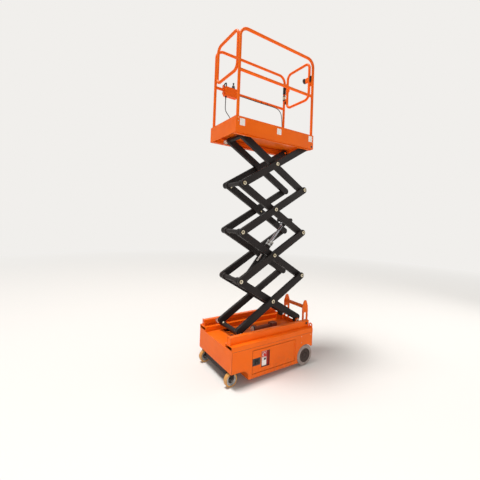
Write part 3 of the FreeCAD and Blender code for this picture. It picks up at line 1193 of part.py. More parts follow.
def make_controls():
    """Control box on the right middle rail, its end bracket, joystick, clamps and cable glands."""
    back = -size.side_y + size.tube_radius + size.box_gap
    mid_x = post_front_x - size.box_inset
    mid_y = back + size.box_deep / 2
    low_x = mid_x - size.box_long / 2
    bottom = mid_rail_z - size.box_drop
    top = bottom + size.box_tall
    corners = [("-box_long / 2", "0"), ("box_long / 2", "0"), ("box_long / 2", "box_tall"),
               ("-box_long / 2", "box_tall")]
    box = prism("control_case", "XZ_Plane", corners, "box_deep",
                rounds=tuple((corner, "box_round") for corner in range(4)),
                place=Placement(Vector(mid_x, mid_y, bottom), Rotation()))
    end_x = low_x + size.box_long
    mid_z = bottom + size.box_tall / 2 + size.end_rise
    bracket = [rod("end_lobe_%d" % level, "end_lobe", "end_plate_thick",
                   (end_x + size.end_plate_off, mid_y, mid_z + way * size.end_lobe_pitch / 2), X_AXIS)
               for level, way in enumerate((-1, 1))]
    bracket.append(block("end_web", ("end_plate_thick", "end_lobe", "end_lobe_pitch"),
                         (end_x + size.end_plate_off, mid_y - size.end_lobe / 2,
                          mid_z - size.end_lobe_pitch / 2)))
    bracket.append(block("end_arm", ("sheet + end_plate_off + end_plate_thick", "end_lobe", "end_lobe"),
                         (end_x - size.sheet, mid_y - size.end_lobe / 2, mid_z - size.end_lobe / 2)))
    node(fuse("control_case_set", [box] + bracket), "control_box")

    stick_x = mid_x - size.stick_off
    boot = doc.addObject("Part::Cone", "joystick_boot")
    bind(boot, "Radius1", "boot_radius")
    bind(boot, "Radius2", "grip_radius")
    bind(boot, "Height", "boot_tall")
    boot.Placement = Placement(Vector(stick_x, mid_y, top), Rotation())
    grip = rod("joystick_grip", "grip_radius", "grip_tall", (stick_x, mid_y, top + size.boot_tall))
    knob = doc.addObject("Part::Sphere", "joystick_knob")
    bind(knob, "Radius", "knob_radius")
    knob.Placement = Placement(Vector(stick_x, mid_y, top + size.boot_tall + size.grip_tall), Rotation())
    guard_x = low_x + size.box_long - size.guard_inset
    guard = bent_tube("joystick_guard", [(guard_x, mid_y - size.guard_half, top),
                                         (guard_x, mid_y - size.guard_half, top + size.guard_tall),
                                         (guard_x, mid_y + size.guard_half, top + size.guard_tall),
                                         (guard_x, mid_y + size.guard_half, top)],
                      "guard_radius", "guard_bend")
    node(group("joystick_group", [fuse("joystick_set", [boot, grip, knob]), guard]), "joystick")

    clamps = []
    for number, clamp_x in enumerate((low_x + size.clamp_inset,
                                      low_x + size.box_long - size.clamp_inset)):
        ring = rod("clamp_ring_%d" % number, "tube_radius + clamp_wall", "clamp_long",
                   (clamp_x - size.clamp_long / 2, -size.side_y, mid_rail_z), X_AXIS)
        hole = rod("clamp_hole_%d" % number, "tube_radius", "2 * clamp_long",
                   (clamp_x - size.clamp_long, -size.side_y, mid_rail_z), X_AXIS)
        clamps.append(cut("clamp_%d" % number, ring, [hole]))
    drop_start, drop_end = on_platform(DROP_CABLE[0]), on_platform(DROP_CABLE[-1])
    rail_start, rail_end = on_platform(RAIL_CABLE[0]), on_platform(RAIL_CABLE[-1])
    spots = (("drop", Vector(drop_start.x, drop_start.y, bottom), Z_AXIS * -1),
             ("deck", Vector(drop_end.x, drop_end.y, platform_top), Z_AXIS),
             ("side", Vector(low_x, rail_start.y, rail_start.z), X_AXIS * -1),
             ("foot", Vector(rail_end.x, rail_end.y, platform_top), Z_AXIS))
    glands = [rod("%s_gland" % name, "cable_radius + gland_wall", "cable_gland", spot, way)
              for name, spot, way in spots]
    node(group("control_fittings_group", clamps + glands), "control_fittings")


# Cables from the control box to the deck: routes chosen by hand, measured from the deck's middle

DROP_CABLE = ((440, -216, 494), (440, -216, 440), (437, -223, 396), (433, -230, 356), (418, -236, 326),
              (391, -241, 302), (361, -246, 279), (334, -251, 240), (322, -256, 182), (320, -260, 124),
              (320, -262, 70), (320, -262, 18))
RAIL_CABLE = ((260, -234, 574), (190, -235, 574), (120, -240, 571), (50, -247, 569), (-50, -252, 569),
              (-150, -254, 565), (-250, -253, 568), (-340, -254, 566), (-420, -255, 554),
              (-480, -254, 514), (-516, -253, 454), (-532, -252, 378), (-539, -253, 288),
              (-541, -252, 198), (-540, -253, 108), (-540, -253, 18))


def on_platform(point):
    """A place that is measured from the middle of the deck's top."""
    return Vector(platform_mid, 0, platform_top) + Vector(*point)


def cable(name, route):
    """A round cable: straight runs joined by tangent arcs as large as the runs allow."""
    points = [on_platform(point) for point in route]
    edges, start = [], points[0]
    for before, corner, after in zip(points, points[1:], points[2:]):
        into = (corner - before).normalize()
        out = (after - corner).normalize()
        setback = 0.45 * min((corner - before).Length, (after - corner).Length)
        first = corner - into * setback
        last = corner + out * setback
        radius = setback / math.tan(into.getAngle(out) / 2)
        centre_way = (out - into).normalize()
        middle = corner + centre_way * (math.hypot(radius, setback) - radius)
        edges.append(Part.LineSegment(start, first).toShape())
        edges.append(Part.Arc(first, middle, last).toShape())
        start = last
    edges.append(Part.LineSegment(start, points[-1]).toShape())
    path = Part.Wire(edges)
    section = Part.Wire([Part.makeCircle(size.cable_radius, points[0], points[1] - points[0])])
    feature = doc.addObject("Part::Feature", name + "_tube")
    feature.Shape = path.makePipeShell([section], True, False)
    print(name, "is", round(path.Length), "mm long")
    node(feature, name)


make_front_plate()
make_rear_plate()
make_side_panels()
make_lids()
make_floor()
make_tray()
make_rails()
make_ladder()
make_inside()
make_doors()
make_drive_wheels()
make_front_bay()
make_forks()
make_casters()
make_arms()
make_cross_tubes()
make_pins()
make_rollers()
make_cylinder()
make_platform()
make_guardrails()
make_gate()
make_controls()
cable("drop_cable", DROP_CABLE)
cable("rail_cable", RAIL_CABLE)
doc.recompute()

for thing in doc.Objects:
    if "Invalid" in thing.State or "Error" in thing.State:
        raise RuntimeError("%s did not build: %s" % (thing.Name, thing.State))
for piece in nodes:
    if piece.Shape.isNull() or not piece.Shape.isValid():
        raise RuntimeError("%s has no valid shape" % piece.Label)

to_middle = Vector((size.ladder_face - size.caster_x - size.caster_radius) / 2, 0, 0)
os.makedirs("parts", exist_ok=True)
for piece in nodes:
    piece.Shape.translated(to_middle).exportStep("parts/%s.step" % piece.Label)
    print(piece.Label, len(piece.Shape.Solids), round(piece.Shape.Volume / 1000), "cm3")
print(len(nodes), "sub-parts")
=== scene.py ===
import json
import math

import bpy
import numpy as np
from mathutils import Matrix, Vector


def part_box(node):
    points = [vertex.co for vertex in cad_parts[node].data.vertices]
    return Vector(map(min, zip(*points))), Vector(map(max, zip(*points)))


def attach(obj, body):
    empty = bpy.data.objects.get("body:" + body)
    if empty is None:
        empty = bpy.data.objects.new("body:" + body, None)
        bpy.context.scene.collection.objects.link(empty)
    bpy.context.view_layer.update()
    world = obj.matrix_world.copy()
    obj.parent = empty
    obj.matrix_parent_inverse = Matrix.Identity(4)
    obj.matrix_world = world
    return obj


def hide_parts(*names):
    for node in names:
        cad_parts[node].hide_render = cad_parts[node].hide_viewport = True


# Looks of a small electric scissor lift, raised. Metres, in the row's frame:
# +X to the front casters, +Y to the left, +Z up.

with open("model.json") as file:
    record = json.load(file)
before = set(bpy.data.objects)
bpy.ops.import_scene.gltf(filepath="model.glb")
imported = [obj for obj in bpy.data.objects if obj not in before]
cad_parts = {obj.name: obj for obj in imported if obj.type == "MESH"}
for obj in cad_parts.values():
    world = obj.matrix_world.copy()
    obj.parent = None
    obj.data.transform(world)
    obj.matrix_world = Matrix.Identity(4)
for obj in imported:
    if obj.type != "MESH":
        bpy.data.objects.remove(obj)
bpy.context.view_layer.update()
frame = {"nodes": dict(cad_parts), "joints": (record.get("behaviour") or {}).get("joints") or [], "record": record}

# Places read from the frame
lids_low, lids_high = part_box("side_lids")
toe_low, toe_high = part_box("toe_board")
deck_low, deck_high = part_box("platform_deck")
box_low, box_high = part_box("control_box")
gate_low, gate_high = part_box("rear_gate")
MIDDLE_X = (lids_low.x + lids_high.x) / 2
POST_X = (gate_low.x + gate_high.x) / 2
PIVOTS = {joint["child"]: Vector(joint["pos_m"]) for joint in frame["joints"] if "pos_m" in joint}


def at(x, y, z):
    """A place in the row's frame from millimetres that count from the middle of the chassis."""
    return Vector((MIDDLE_X + x / 1000, y / 1000, z / 1000))


# Ways that a face can look, and the two sides of the machine
UP, DOWN = (0, 0, 1), (0, 0, -1)
FRONT, REAR = (1, 0, 0), (-1, 0, 0)
LEFT, RIGHT = (0, 1, 0), (0, -1, 0)
SIDES = (("left", 1), ("right", -1))
SIGNS = (1, -1)


# Camera, matched to the photograph: its frame is 480 by 480 pixels

PHOTO_SIDE = 480
FOCAL_PIXELS = 282.36
CENTRE_ROW = 213.5
SENSOR = 36
YAW, PITCH, ROLL = (math.radians(angle) for angle in (236.92, 1.15, 2.09))
CAMERA_SPOT = (2153, 2834, 1757)


def make_camera():
    """A pinhole camera, with its optical axis above the middle row of the frame."""
    ahead = Vector((math.cos(YAW) * math.cos(PITCH), math.sin(YAW) * math.cos(PITCH), math.sin(PITCH)))
    right = Vector((math.sin(YAW), -math.cos(YAW), 0))
    up = right.cross(ahead)
    rolled_right = right * math.cos(ROLL) + up * math.sin(ROLL)
    rolled_up = up * math.cos(ROLL) - right * math.sin(ROLL)
    turn = Matrix((rolled_right, rolled_up, -ahead)).transposed()
    lens = bpy.data.cameras.new("camera")
    lens.sensor_width = SENSOR
    lens.lens = SENSOR * FOCAL_PIXELS / PHOTO_SIDE
    lens.shift_y = (CENTRE_ROW - PHOTO_SIDE / 2) / PHOTO_SIDE
    lens.clip_end = 200
    camera = bpy.data.objects.new("camera", lens)
    camera.matrix_world = Matrix.Translation(at(*CAMERA_SPOT)) @ turn.to_4x4()
    bpy.context.scene.collection.objects.link(camera)
    bpy.context.scene.camera = camera


# Colours and materials. Sockets by number: a Map Range has its value on 0, the range that it comes from
# on 1 and 2, and the range it goes to on 3 and 4. A colour Mix has its share on 0 and its colours on 6
# and 7.

PAINT_SPECULAR = 0.2
FLOOR_GRIME = "#8A5B3D"


def colour(text):
    """Linear RGBA of an sRGB hex value."""
    parts = [int(text[start:start + 2], 16) / 255 for start in (1, 3, 5)]
    linear = [part / 12.92 if part <= 0.04045 else ((part + 0.055) / 1.055) ** 2.4 for part in parts]
    return (*linear, 1)


def per_metre(size_mm):
    """Texture scale whose features are about this many millimetres wide."""
    return 1000 / size_mm


def add(tree, kind, inputs=(), links=(), **settings):
    """Adds a node with its settings, plain inputs and links; both lists hold (socket, value) pairs, and
    a link that names a node starts at its first output."""
    node = tree.nodes.new(kind)
    for name, value in settings.items():
        setattr(node, name, value)
    for socket, value in inputs:
        node.inputs[socket].default_value = value
    for socket, source in links:
        tree.links.new(getattr(source, "outputs", (source,))[0], node.inputs[socket])
    return node


def start_material(name):
    """A material with only its output and Principled shader, and the object's own coordinates."""
    material = bpy.data.materials.new(name)
    material.use_nodes = True
    tree = material.node_tree
    tree.nodes.clear()
    shader = add(tree, "ShaderNodeBsdfPrincipled")
    add(tree, "ShaderNodeOutputMaterial", (), [(0, shader)])
    place = add(tree, "ShaderNodeTexCoord").outputs["Object"]
    return material, tree, shader, place


def painted_steel(name, paint, faded, dust, rough, peel, scuff_and_highlight, grime_top_mm=0):
    """Sprayed or powder-coated sheet steel: clouds of slight fading, dust on what faces up, a paler
    colour along the edges that is partly scuffs and partly a painted highlight, orange peel in the
    gloss and, near the floor, grime that thins out towards grime_top_mm."""
    material, tree, shader, place = start_material(name)
    shader.inputs["Specular IOR Level"].default_value = PAINT_SPECULAR
    cloud = add(tree, "ShaderNodeTexNoise", [("Scale", per_metre(260))], [("Vector", place)])
    fading = add(tree, "ShaderNodeMapRange", [(1, 0.35), (2, 0.7)], [(0, cloud)])
    hue = add(tree, "ShaderNodeMix", [(6, colour(paint)), (7, colour(faded))], [(0, fading)],
              data_type="RGBA").outputs[2]

    normal = add(tree, "ShaderNodeNewGeometry").outputs["Normal"]
    upward = add(tree, "ShaderNodeSeparateXYZ", (), [(0, normal)]).outputs[2]
    patches = add(tree, "ShaderNodeTexNoise", [("Scale", per_metre(45)), ("Detail", 5.0)],
                  [("Vector", place)])
    speckle = add(tree, "ShaderNodeMapRange", [(1, 0.38), (2, 0.72)], [(0, patches)])
    lying = add(tree, "ShaderNodeMapRange", [(1, 0.6), (2, 1.0), (4, 0.1)], [(0, upward)])
    dusty = add(tree, "ShaderNodeMath", (), [(0, lying), (1, speckle)], operation="MULTIPLY")
    hue = add(tree, "ShaderNodeMix", [(7, colour(dust))], [(0, dusty), (6, hue)],
              data_type="RGBA").outputs[2]
    if grime_top_mm:
        level = add(tree, "ShaderNodeSeparateXYZ", (), [(0, place)]).outputs[2]
        low = add(tree, "ShaderNodeMapRange",
                  [(1, 0.05), (2, grime_top_mm / 1000), (3, 0.34), (4, 0.0)], [(0, level)])
        grimy = add(tree, "ShaderNodeMath", (), [(0, low), (1, speckle)], operation="MULTIPLY")
        hue = add(tree, "ShaderNodeMix", [(7, colour(FLOOR_GRIME))], [(0, grimy), (6, hue)],
                  data_type="RGBA").outputs[2]

    # Folded and cut edges are round by 1 to 2 mm, drawn at 2.5 mm; their film is thin and scuffed,
    # and the paler colour along them is partly scuffing and partly a painted highlight
    edge = add(tree, "ShaderNodeBevel", [("Radius", 0.0025)], samples=4)
    bend = add(tree, "ShaderNodeVectorMath", (), [(0, edge), (1, normal)],
               operation="DOT_PRODUCT").outputs["Value"]
    edge_wear_and_highlight = add(tree, "ShaderNodeMapRange", [(1, 0.98), (2, 0.75), (4, 0.55)], [(0, bend)])
    worn = add(tree, "ShaderNodeMath", (), [(0, edge_wear_and_highlight), (1, speckle)], operation="MULTIPLY")
    hue = add(tree, "ShaderNodeMix", [(7, colour(scuff_and_highlight))], [(0, worn), (6, hue)],
              data_type="RGBA").outputs[2]
    tree.links.new(hue, shader.inputs["Base Color"])

    smears = add(tree, "ShaderNodeTexNoise", [("Scale", per_metre(70)), ("Detail", 4.0)],
                 [("Vector", place)])
    gloss = add(tree, "ShaderNodeMapRange", [(1, 0.3), (2, 0.75), (3, rough), (4, rough + 0.16)],
                [(0, smears)])
    tree.links.new(gloss.outputs[0], shader.inputs["Roughness"])
    # Orange peel is 1 to 3 mm wide, drawn at 4 mm so that it shows
    ripples = add(tree, "ShaderNodeTexNoise", [("Scale", per_metre(4))], [("Vector", place)])
    bump = add(tree, "ShaderNodeBump", [("Strength", peel), ("Distance", 0.0003)],
               [("Height", ripples), ("Normal", edge)])
    tree.links.new(bump.outputs[0], shader.inputs["Normal"])
    return material


def bare_metal(name, bright, stained, rough, grain_mm, stretch):
    """Plated, turned or cast metal: full metallic, with faint stains and tool grain along one way."""
    material, tree, shader, place = start_material(name)
    shader.inputs["Metallic"].default_value = 1.0
    clouds = add(tree, "ShaderNodeTexNoise", [("Scale", per_metre(30)), ("Detail", 4.0)],
                 [("Vector", place)])
    stains = add(tree, "ShaderNodeMapRange", [(1, 0.4), (2, 0.7)], [(0, clouds)])
    hue = add(tree, "ShaderNodeMix", [(6, colour(bright)), (7, colour(stained))], [(0, stains)],
              data_type="RGBA")
    tree.links.new(hue.outputs[2], shader.inputs["Base Color"])
    drawn = add(tree, "ShaderNodeMapping", [("Scale", stretch)], [("Vector", place)])
    grain = add(tree, "ShaderNodeTexNoise", [("Scale", per_metre(grain_mm)), ("Detail", 3.0)],
                [("Vector", drawn)])
    gloss = add(tree, "ShaderNodeMapRange", [(1, 0.3), (2, 0.7), (3, rough * 0.75), (4, rough * 1.3)],
                [(0, grain)])
    tree.links.new(gloss.outputs[0], shader.inputs["Roughness"])
    bump = add(tree, "ShaderNodeBump", [("Strength", 0.12), ("Distance", 0.0001)], [("Height", grain)])
    tree.links.new(bump.outputs[0], shader.inputs["Normal"])
    return material


def moulded(name, fresh, worn, rough, grain_mm, strength, dust, dust_share):
    """Rubber, moulded plastic or film: no metal, a fine grain and dust that settles in patches."""
    material, tree, shader, place = start_material(name)
    clouds = add(tree, "ShaderNodeTexNoise", [("Scale", per_metre(60)), ("Detail", 3.0)],
                 [("Vector", place)])
    wear = add(tree, "ShaderNodeMapRange", [(1, 0.35), (2, 0.7)], [(0, clouds)])
    hue = add(tree, "ShaderNodeMix", [(6, colour(fresh)), (7, colour(worn))], [(0, wear)],
              data_type="RGBA").outputs[2]
    patches = add(tree, "ShaderNodeTexNoise", [("Scale", per_metre(25)), ("Detail", 5.0)],
                  [("Vector", place)])
    dusty = add(tree, "ShaderNodeMapRange", [(1, 0.5), (2, 0.8), (4, dust_share)], [(0, patches)])
    hue = add(tree, "ShaderNodeMix", [(7, colour(dust))], [(0, dusty), (6, hue)], data_type="RGBA")
    tree.links.new(hue.outputs[2], shader.inputs["Base Color"])
    smears = add(tree, "ShaderNodeTexNoise", [("Scale", per_metre(20)), ("Detail", 4.0)],
                 [("Vector", place)])
    gloss = add(tree, "ShaderNodeMapRange", [(1, 0.3), (2, 0.7), (3, rough - 0.08), (4, rough + 0.08)],
                [(0, smears)])
    tree.links.new(gloss.outputs[0], shader.inputs["Roughness"])
    grain = add(tree, "ShaderNodeTexNoise", [("Scale", per_metre(grain_mm)), ("Detail", 3.0)],
                [("Vector", place)])
    bump = add(tree, "ShaderNodeBump", [("Strength", strength), ("Distance", 0.00025)],
               [("Height", grain)])
    tree.links.new(bump.outputs[0], shader.inputs["Normal"])
    return material


FINISHES = {
    # Powder coat on folded steel: a deep semi-gloss orange, paler where it is dusty, and a paler orange along the
    # edges that is partly wear and partly a painted highlight
    "orange_paint": painted_steel("powder_coat_orange", "#F26905", "#EA6204", "#DC8C4E", 0.36, 0.10,
                                  "#F68A45", 260),
    # Sprayed black enamel on tube: near black, brownish with dust, grey along the edges, partly wear and partly a
    # painted highlight
    "black_paint": painted_steel("enamel_black", "#1C1716", "#231C1A", "#5A4D45", 0.42, 0.12, "#574E49"),
    # Yellow-passivated zinc on pins and screws: a warm, pale, satin metal
    "zinc": bare_metal("zinc_plate", "#E3D9C2", "#B7A681", 0.34, 2, (1, 1, 1)),
    # Ground hard chrome: a sharp mirror with fine rings round the rod
    "chrome_rod": bare_metal("hard_chrome", "#B9B8BC", "#A4A2A8", 0.10, 3, (1, 8, 1)),
    # Non-marking rubber: matt warm grey with dust in it
    "grey_tyre": moulded("non_marking_rubber", "#A0918A", "#8E807A", 0.82, 3, 0.35, "#B9A898", 0.2),
    # Enamelled cast iron: dark brown-grey, rather matt
    "dark_hub": painted_steel("hub_enamel", "#433733", "#4B3D38", "#7E6E62", 0.55, 0.15, "#6B5E56"),
    # Cast polyurethane: amber, smooth, scuffed by the floor
    "amber_tread": moulded("cast_polyurethane", "#CE9347", "#BD8645", 0.45, 6, 0.10, "#9E8E7C", 0.4),
    # Sand-cast aluminium: pale, rather rough, with darker pores
    "silver_hub": bare_metal("cast_aluminium", "#C6C6C4", "#9D9B97", 0.42, 5, (1, 1, 1)),
    # Moulded ABS: black, lightly grained, semi-matt
    "black_plastic": moulded("abs_black", "#262424", "#2E2B2A", 0.52, 2, 0.2, "#B9AFA4", 0.12),
    # Moulded polypropylene: dark blue-grey, waxy
    "battery_case": moulded("polypropylene_case", "#2A2C2E", "#343638", 0.58, 3, 0.2, "#B9AFA4", 0.2),
    # Hammered motor enamel: mid grey
    "grey_metal": painted_steel("motor_enamel", "#77706B", "#6B645F", "#A3978A", 0.45, 0.12, "#9A948E"),
    # Soft PVC sheath: black with a dull shine
    "cable_black": moulded("pvc_sheath", "#1E1D1D", "#282626", 0.5, 4, 0.15, "#B9AFA4", 0.12),
    # Stove enamel: clean white, a little uneven; on the emergency button's collar the white is a painted highlight
    "white_enamel": painted_steel("enamel_white_and_highlight", "#EFE9E4", "#E6DED6", "#CFC4B8", 0.4, 0.06, "#D9D2CB"),
    # Printed vinyl film, left blank: flat white, slightly shiny; on the barrel the same white is a strip that
    # paints a highlight
    "label_film": moulded("vinyl_label_and_highlight", "#F3EDE8", "#EAE2DB", 0.45, 2, 0.05, "#CFC3B6", 0.15),
    # Glossy thermoplastic of an emergency button: signal red
    "red_button": moulded("button_red", "#D2231E", "#C21D1A", 0.32, 2, 0.05, "#B06A5C", 0.1),
    # Dull red that paints the shade on the lining of the switch recess
    "red_enamel": painted_steel("recess_shade_red", "#A8281C", "#98231A", "#A5705C", 0.45, 0.08, "#C06A56"),
    # Cream enamel over rough cast iron
    "cast_white": painted_steel("enamel_cream", "#E8DED3", "#D8CBBE", "#BDB0A2", 0.45, 0.12, "#C9BEB2"),
    # Cast nylon of the rollers: cream white, waxy
    "cast_nylon": moulded("nylon_rollers", "#E6DDD0", "#D8CCBC", 0.45, 3, 0.08, "#A9998A", 0.3),
    # Oxide-red enamel on the pump: dull, dusty on top
    "pump_enamel": painted_steel("enamel_oxide_red", "#96503A", "#84432E", "#C09078", 0.5, 0.12,
                                 "#7E6458"),
    # Soft rubber of seals and boots: matt black; the same black also paints the shade in gaps, slots and holes
    "seal_rubber": moulded("black_rubber_and_shade", "#1D1B1A", "#262322", 0.7, 2, 0.2, "#8F857B", 0.1),
    # Brown-red painted steel pipe
    "copper_pipe": painted_steel("pipe_brown", "#7A3A22", "#6B3320", "#8E6A55", 0.42, 0.1, "#A07860"),
}


# Shapes. Each is a pair: its points, in millimetres about its own origin, and its faces, turned
# outwards.

# Edges between faces that turn more than this stay sharp, in degrees
SHARP_ANGLE = 40
# A direction is steep where its unit vector rises or falls by more than this
STEEP = 0.3


def circle(sides):
    """Evenly spaced angles round a circle, from 0."""
    return np.arange(sides) * 2 * math.pi / sides


def ring_faces(rows, columns, closed=False):
    """Quads between neighbouring rows of a grid of points; each row is a closed ring of columns points,
    and with closed the last row meets the first."""
    row, column = np.indices((rows if closed else rows - 1, columns))
    above = (row + 1) % rows
    beside = (column + 1) % columns
    quads = np.stack((row * columns + column, row * columns + beside,
                      above * columns + beside, above * columns + column), axis=-1)
    return quads.reshape(-1, 4).tolist()


def capped(rings):
    """A stack of closed rings, rows x columns x 3, with one face over each end."""
    rows, columns = rings.shape[:2]
    ends = [list(range(columns))[::-1], list(range((rows - 1) * columns, rows * columns))]
    return rings.reshape(-1, 3), ring_faces(rows, columns) + ends


def looped(rings):
    """A stack of closed rings whose last one meets the first."""
    rows, columns = rings.shape[:2]
    return rings.reshape(-1, 3), ring_faces(rows, columns, closed=True)


def stacked(levels):
    """Rings from pairs of a flat outline and its height."""
    return np.array([np.column_stack((outline, np.full(len(outline), height)))
                     for outline, height in levels])


def lathe_rings(profile, sides, swell):
    """Each (radius r, height h) of the profile goes round as (swell r cos t, swell r sin t, h), where
    swell is one number or one for each t."""
    radius, height = np.array(profile, float).T
    turn = circle(sides)
    return np.stack((np.outer(radius, swell * np.cos(turn)), np.outer(radius, swell * np.sin(turn)),
                     np.repeat(height[:, None], sides, axis=1)), axis=-1)


def turned(profile, sides=24):
    """Lathe work: each (radius r, height h) of the profile goes round as (r cos t, r sin t, h)."""
    return capped(lathe_rings(profile, sides, 1))


def hoop(profile, sides=32, wave=0.0, waves=0):
    """A turned ring with a hole: the profile is closed, and its radius may swell by a wave round the
    ring, r (1 + wave cos(waves t))."""
    return looped(lathe_rings(profile, sides, 1 + wave * np.cos(waves * circle(sides))))


def rounded(long, wide, radius, steps=4):
    """Outline of a rectangle with round corners: each corner's centre plus r (cos t, sin t)."""
    quarter = np.repeat(np.arange(4), steps + 1)
    angle = (quarter + np.tile(np.arange(steps + 1), 4) / steps) * math.pi / 2
    signs = np.array(((1, 1), (-1, 1), (-1, -1), (1, -1)))[quarter]
    centres = signs * (long / 2 - radius, wide / 2 - radius)
    return centres + radius * np.column_stack((np.cos(angle), np.sin(angle)))


def plate(outline, thick, bevel=0.6):
    """A flat plate: its outline at four heights, drawn in along its own normals by the bevel at both
    faces."""
    outline = np.array(outline, float)
    along = np.roll(outline, -1, 0) - np.roll(outline, 1, 0)
    inward = np.column_stack((-along[:, 1], along[:, 0])) / np.linalg.norm(along, axis=1)[:, None]
    levels = ((bevel, 0), (0, bevel), (0, thick - bevel), (bevel, thick))
    return capped(stacked([(outline + inset * inward, height) for inset, height in levels]))


def bordered(long, wide, rim, radius, thick):
    """A flat frame: a rectangle with round corners, less the same drawn in by the rim all round."""
    outer = rounded(long, wide, radius)
    inner = rounded(long - 2 * rim, wide - 2 * rim, max(radius - rim, 1))
    return looped(stacked(((outer, 0), (outer, thick), (inner, thick), (inner, 0))))


def strap(first, first_radius, second, second_radius, wide, thick, sides=72):
    """A taut band round two circles: towards each direction u it lies on the circle that reaches
    furthest, at centre + radius u, and its outer face is one thickness further out."""
    turn = circle(sides)
    towards = np.column_stack((np.cos(turn), np.sin(turn)))
    centres = np.array((first, second), float)
    radii = np.array((first_radius, second_radius), float)
    furthest = np.argmax(centres @ towards.T + radii[:, None], axis=0)
    inner = centres[furthest] + radii[furthest, None] * towards
    outer = inner + thick * towards
    return looped(stacked(((inner, 0), (outer, 0), (outer, wide), (inner, wide))))


def piped(path, radius, flat_side, sides=10):
    """A round bar: round each point p of the path goes p + r (cos t a + sin t b), where a and b are
    square to the path, and a to flat_side, a direction that the path never takes."""
    path = np.array(path, float)
    along = np.gradient(path, axis=0)
    along /= np.linalg.norm(along, axis=1)[:, None]
    first = np.cross(np.array(flat_side, float), along)
    first /= np.linalg.norm(first, axis=1)[:, None]
    second = np.cross(along, first)
    turn = circle(sides)
    return capped(path[:, None] + radius * (np.cos(turn)[None, :, None] * first[:, None]
                                            + np.sin(turn)[None, :, None] * second[:, None]))


def curved(corners, steps=12):
    """A smooth line from corner points: a quadratic B-spline, whose pieces run between the middles of
    the corners' sides and bend round each corner: (1-t)^2 a + 2t(1-t) corner + t^2 b."""
    corners = np.array(corners, float)
    middles = (corners[1:] + corners[:-1]) / 2
    middles[0], middles[-1] = corners[0], corners[-1]
    share = np.linspace(0, 1, steps, endpoint=False)[None, :, None]
    start, bend, end = middles[:-1, None], corners[1:-1, None], middles[1:, None]
    runs = (1 - share) ** 2 * start + 2 * share * (1 - share) * bend + share ** 2 * end
    return np.vstack((runs.reshape(-1, 3), corners[-1:]))


def placed(shape, spot=(0, 0, 0), way=(0, 0, 1), upright=None):
    """The shape with its own Z axis turned to a direction and its origin put at a spot in the row's
    frame. Its Y axis takes the direction upright, which is up, or left when way is steep, where none
    is given."""
    points, faces = shape
    ahead = np.array(way, float) / np.linalg.norm(way)
    if upright is None:
        upright = LEFT if abs(ahead[2]) > STEEP else UP
    upright = np.array(upright, float)
    turn = np.stack((np.cross(upright, ahead), upright, ahead))
    return points @ turn / 1000 + np.array(spot), faces


def joined(shapes):
    """Several placed shapes as one."""
    counts = np.cumsum([0] + [len(points) for points, faces in shapes])
    faces = [[corner + start for corner in face]
             for start, (points, shape_faces) in zip(counts, shapes) for face in shape_faces]
    return np.vstack([points for points, faces in shapes]), faces


def piece(name, shapes, finish, body, covers=()):
    """Makes an object of placed shapes, with a finish by name, that rides on a body."""
    points, faces = joined(shapes)
    mesh = bpy.data.meshes.new(name)
    mesh.from_pydata(points.tolist(), [], faces)
    mesh.shade_smooth()
    mesh.set_sharp_from_angle(angle=math.radians(SHARP_ANGLE))
    mesh.materials.append(FINISHES[finish])
    made = bpy.data.objects.new(name, mesh)
    bpy.context.scene.collection.objects.link(made)
    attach(made, body)
    if covers:
        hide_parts(*covers)


# Nodes with a finish of their own, which their slot doesn't have
OWN_FINISHES = {"base_rollers": "cast_nylon", "top_rollers": "cast_nylon",
                "hydraulic_pump": "pump_enamel"}


def dress_nodes():
    """Gives each carried-over CAD node its finish."""
    for entry in frame["record"]["subparts"]:
        node = frame["nodes"][entry["node"]]
        node.data.materials.clear()
        node.data.materials.append(FINISHES[OWN_FINISHES.get(entry["node"], entry["material_slot"])])


def around(radius, count, first=0.0):
    """Evenly spaced places on a circle, as (across, up) pairs in millimetres."""
    turn = first + circle(count)
    return np.column_stack((radius * np.cos(turn), radius * np.sin(turn)))


def grommet():
    """A rubber ring round a hole of 20 mm, closed by a black membrane that paints the hole's shade."""
    return turned(((13, 0), (13, 1), (10, 2), (2, 2)), 28)


def hex_bolt(radius, tall):
    """A washer and a six-sided head with a bevelled crown."""
    washer = turned(((radius * 1.35, 0), (radius * 1.35, 1.2), (radius * 1.25, 1.6)), 20)
    head = turned(((radius, 1.5), (radius, tall - 0.8), (radius * 0.86, tall)), 6)
    return joined((washer, head))


def dome_bolt(radius, tall):
    """A domed head: a quarter ellipse, radius r cos t at height h sin t, with a small flat top."""
    turn = np.linspace(0, 1.25, 6)
    return turned(np.column_stack((radius * np.cos(turn), tall * np.sin(turn))), 16)


# Cables

# Routes from the control box to the deck, in millimetres from the middle of the deck's top
DROP_CABLE = ((440, -216, 494), (440, -216, 440), (437, -223, 396), (433, -230, 356), (418, -236, 326),
              (391, -241, 302), (361, -246, 279), (334, -251, 240), (322, -256, 182), (320, -260, 124),
              (320, -262, 70), (320, -262, 18))
RAIL_CABLE = ((260, -234, 574), (190, -236, 577), (120, -244, 580), (50, -252, 583), (-50, -256, 583),
              (-150, -257, 583), (-250, -257, 583), (-330, -257, 583), (-400, -257, 582),
              (-455, -256, 569), (-494, -254, 534), (-512, -252, 478), (-521, -251, 400),
              (-527, -251, 310), (-532, -252, 220), (-537, -253, 120), (-540, -253, 60),
              (-540, -253, 18))
# From a gland's foot to where the cable leaves it, and the cable's thickness
GLAND_LONG = 0.018
CABLE_THICK = 0.010


def on_deck(point):
    """A place in the row's frame from millimetres that count from the middle of the deck's top."""
    return Vector(((deck_low.x + deck_high.x) / 2, 0, deck_high.z)) + Vector(point) / 1000


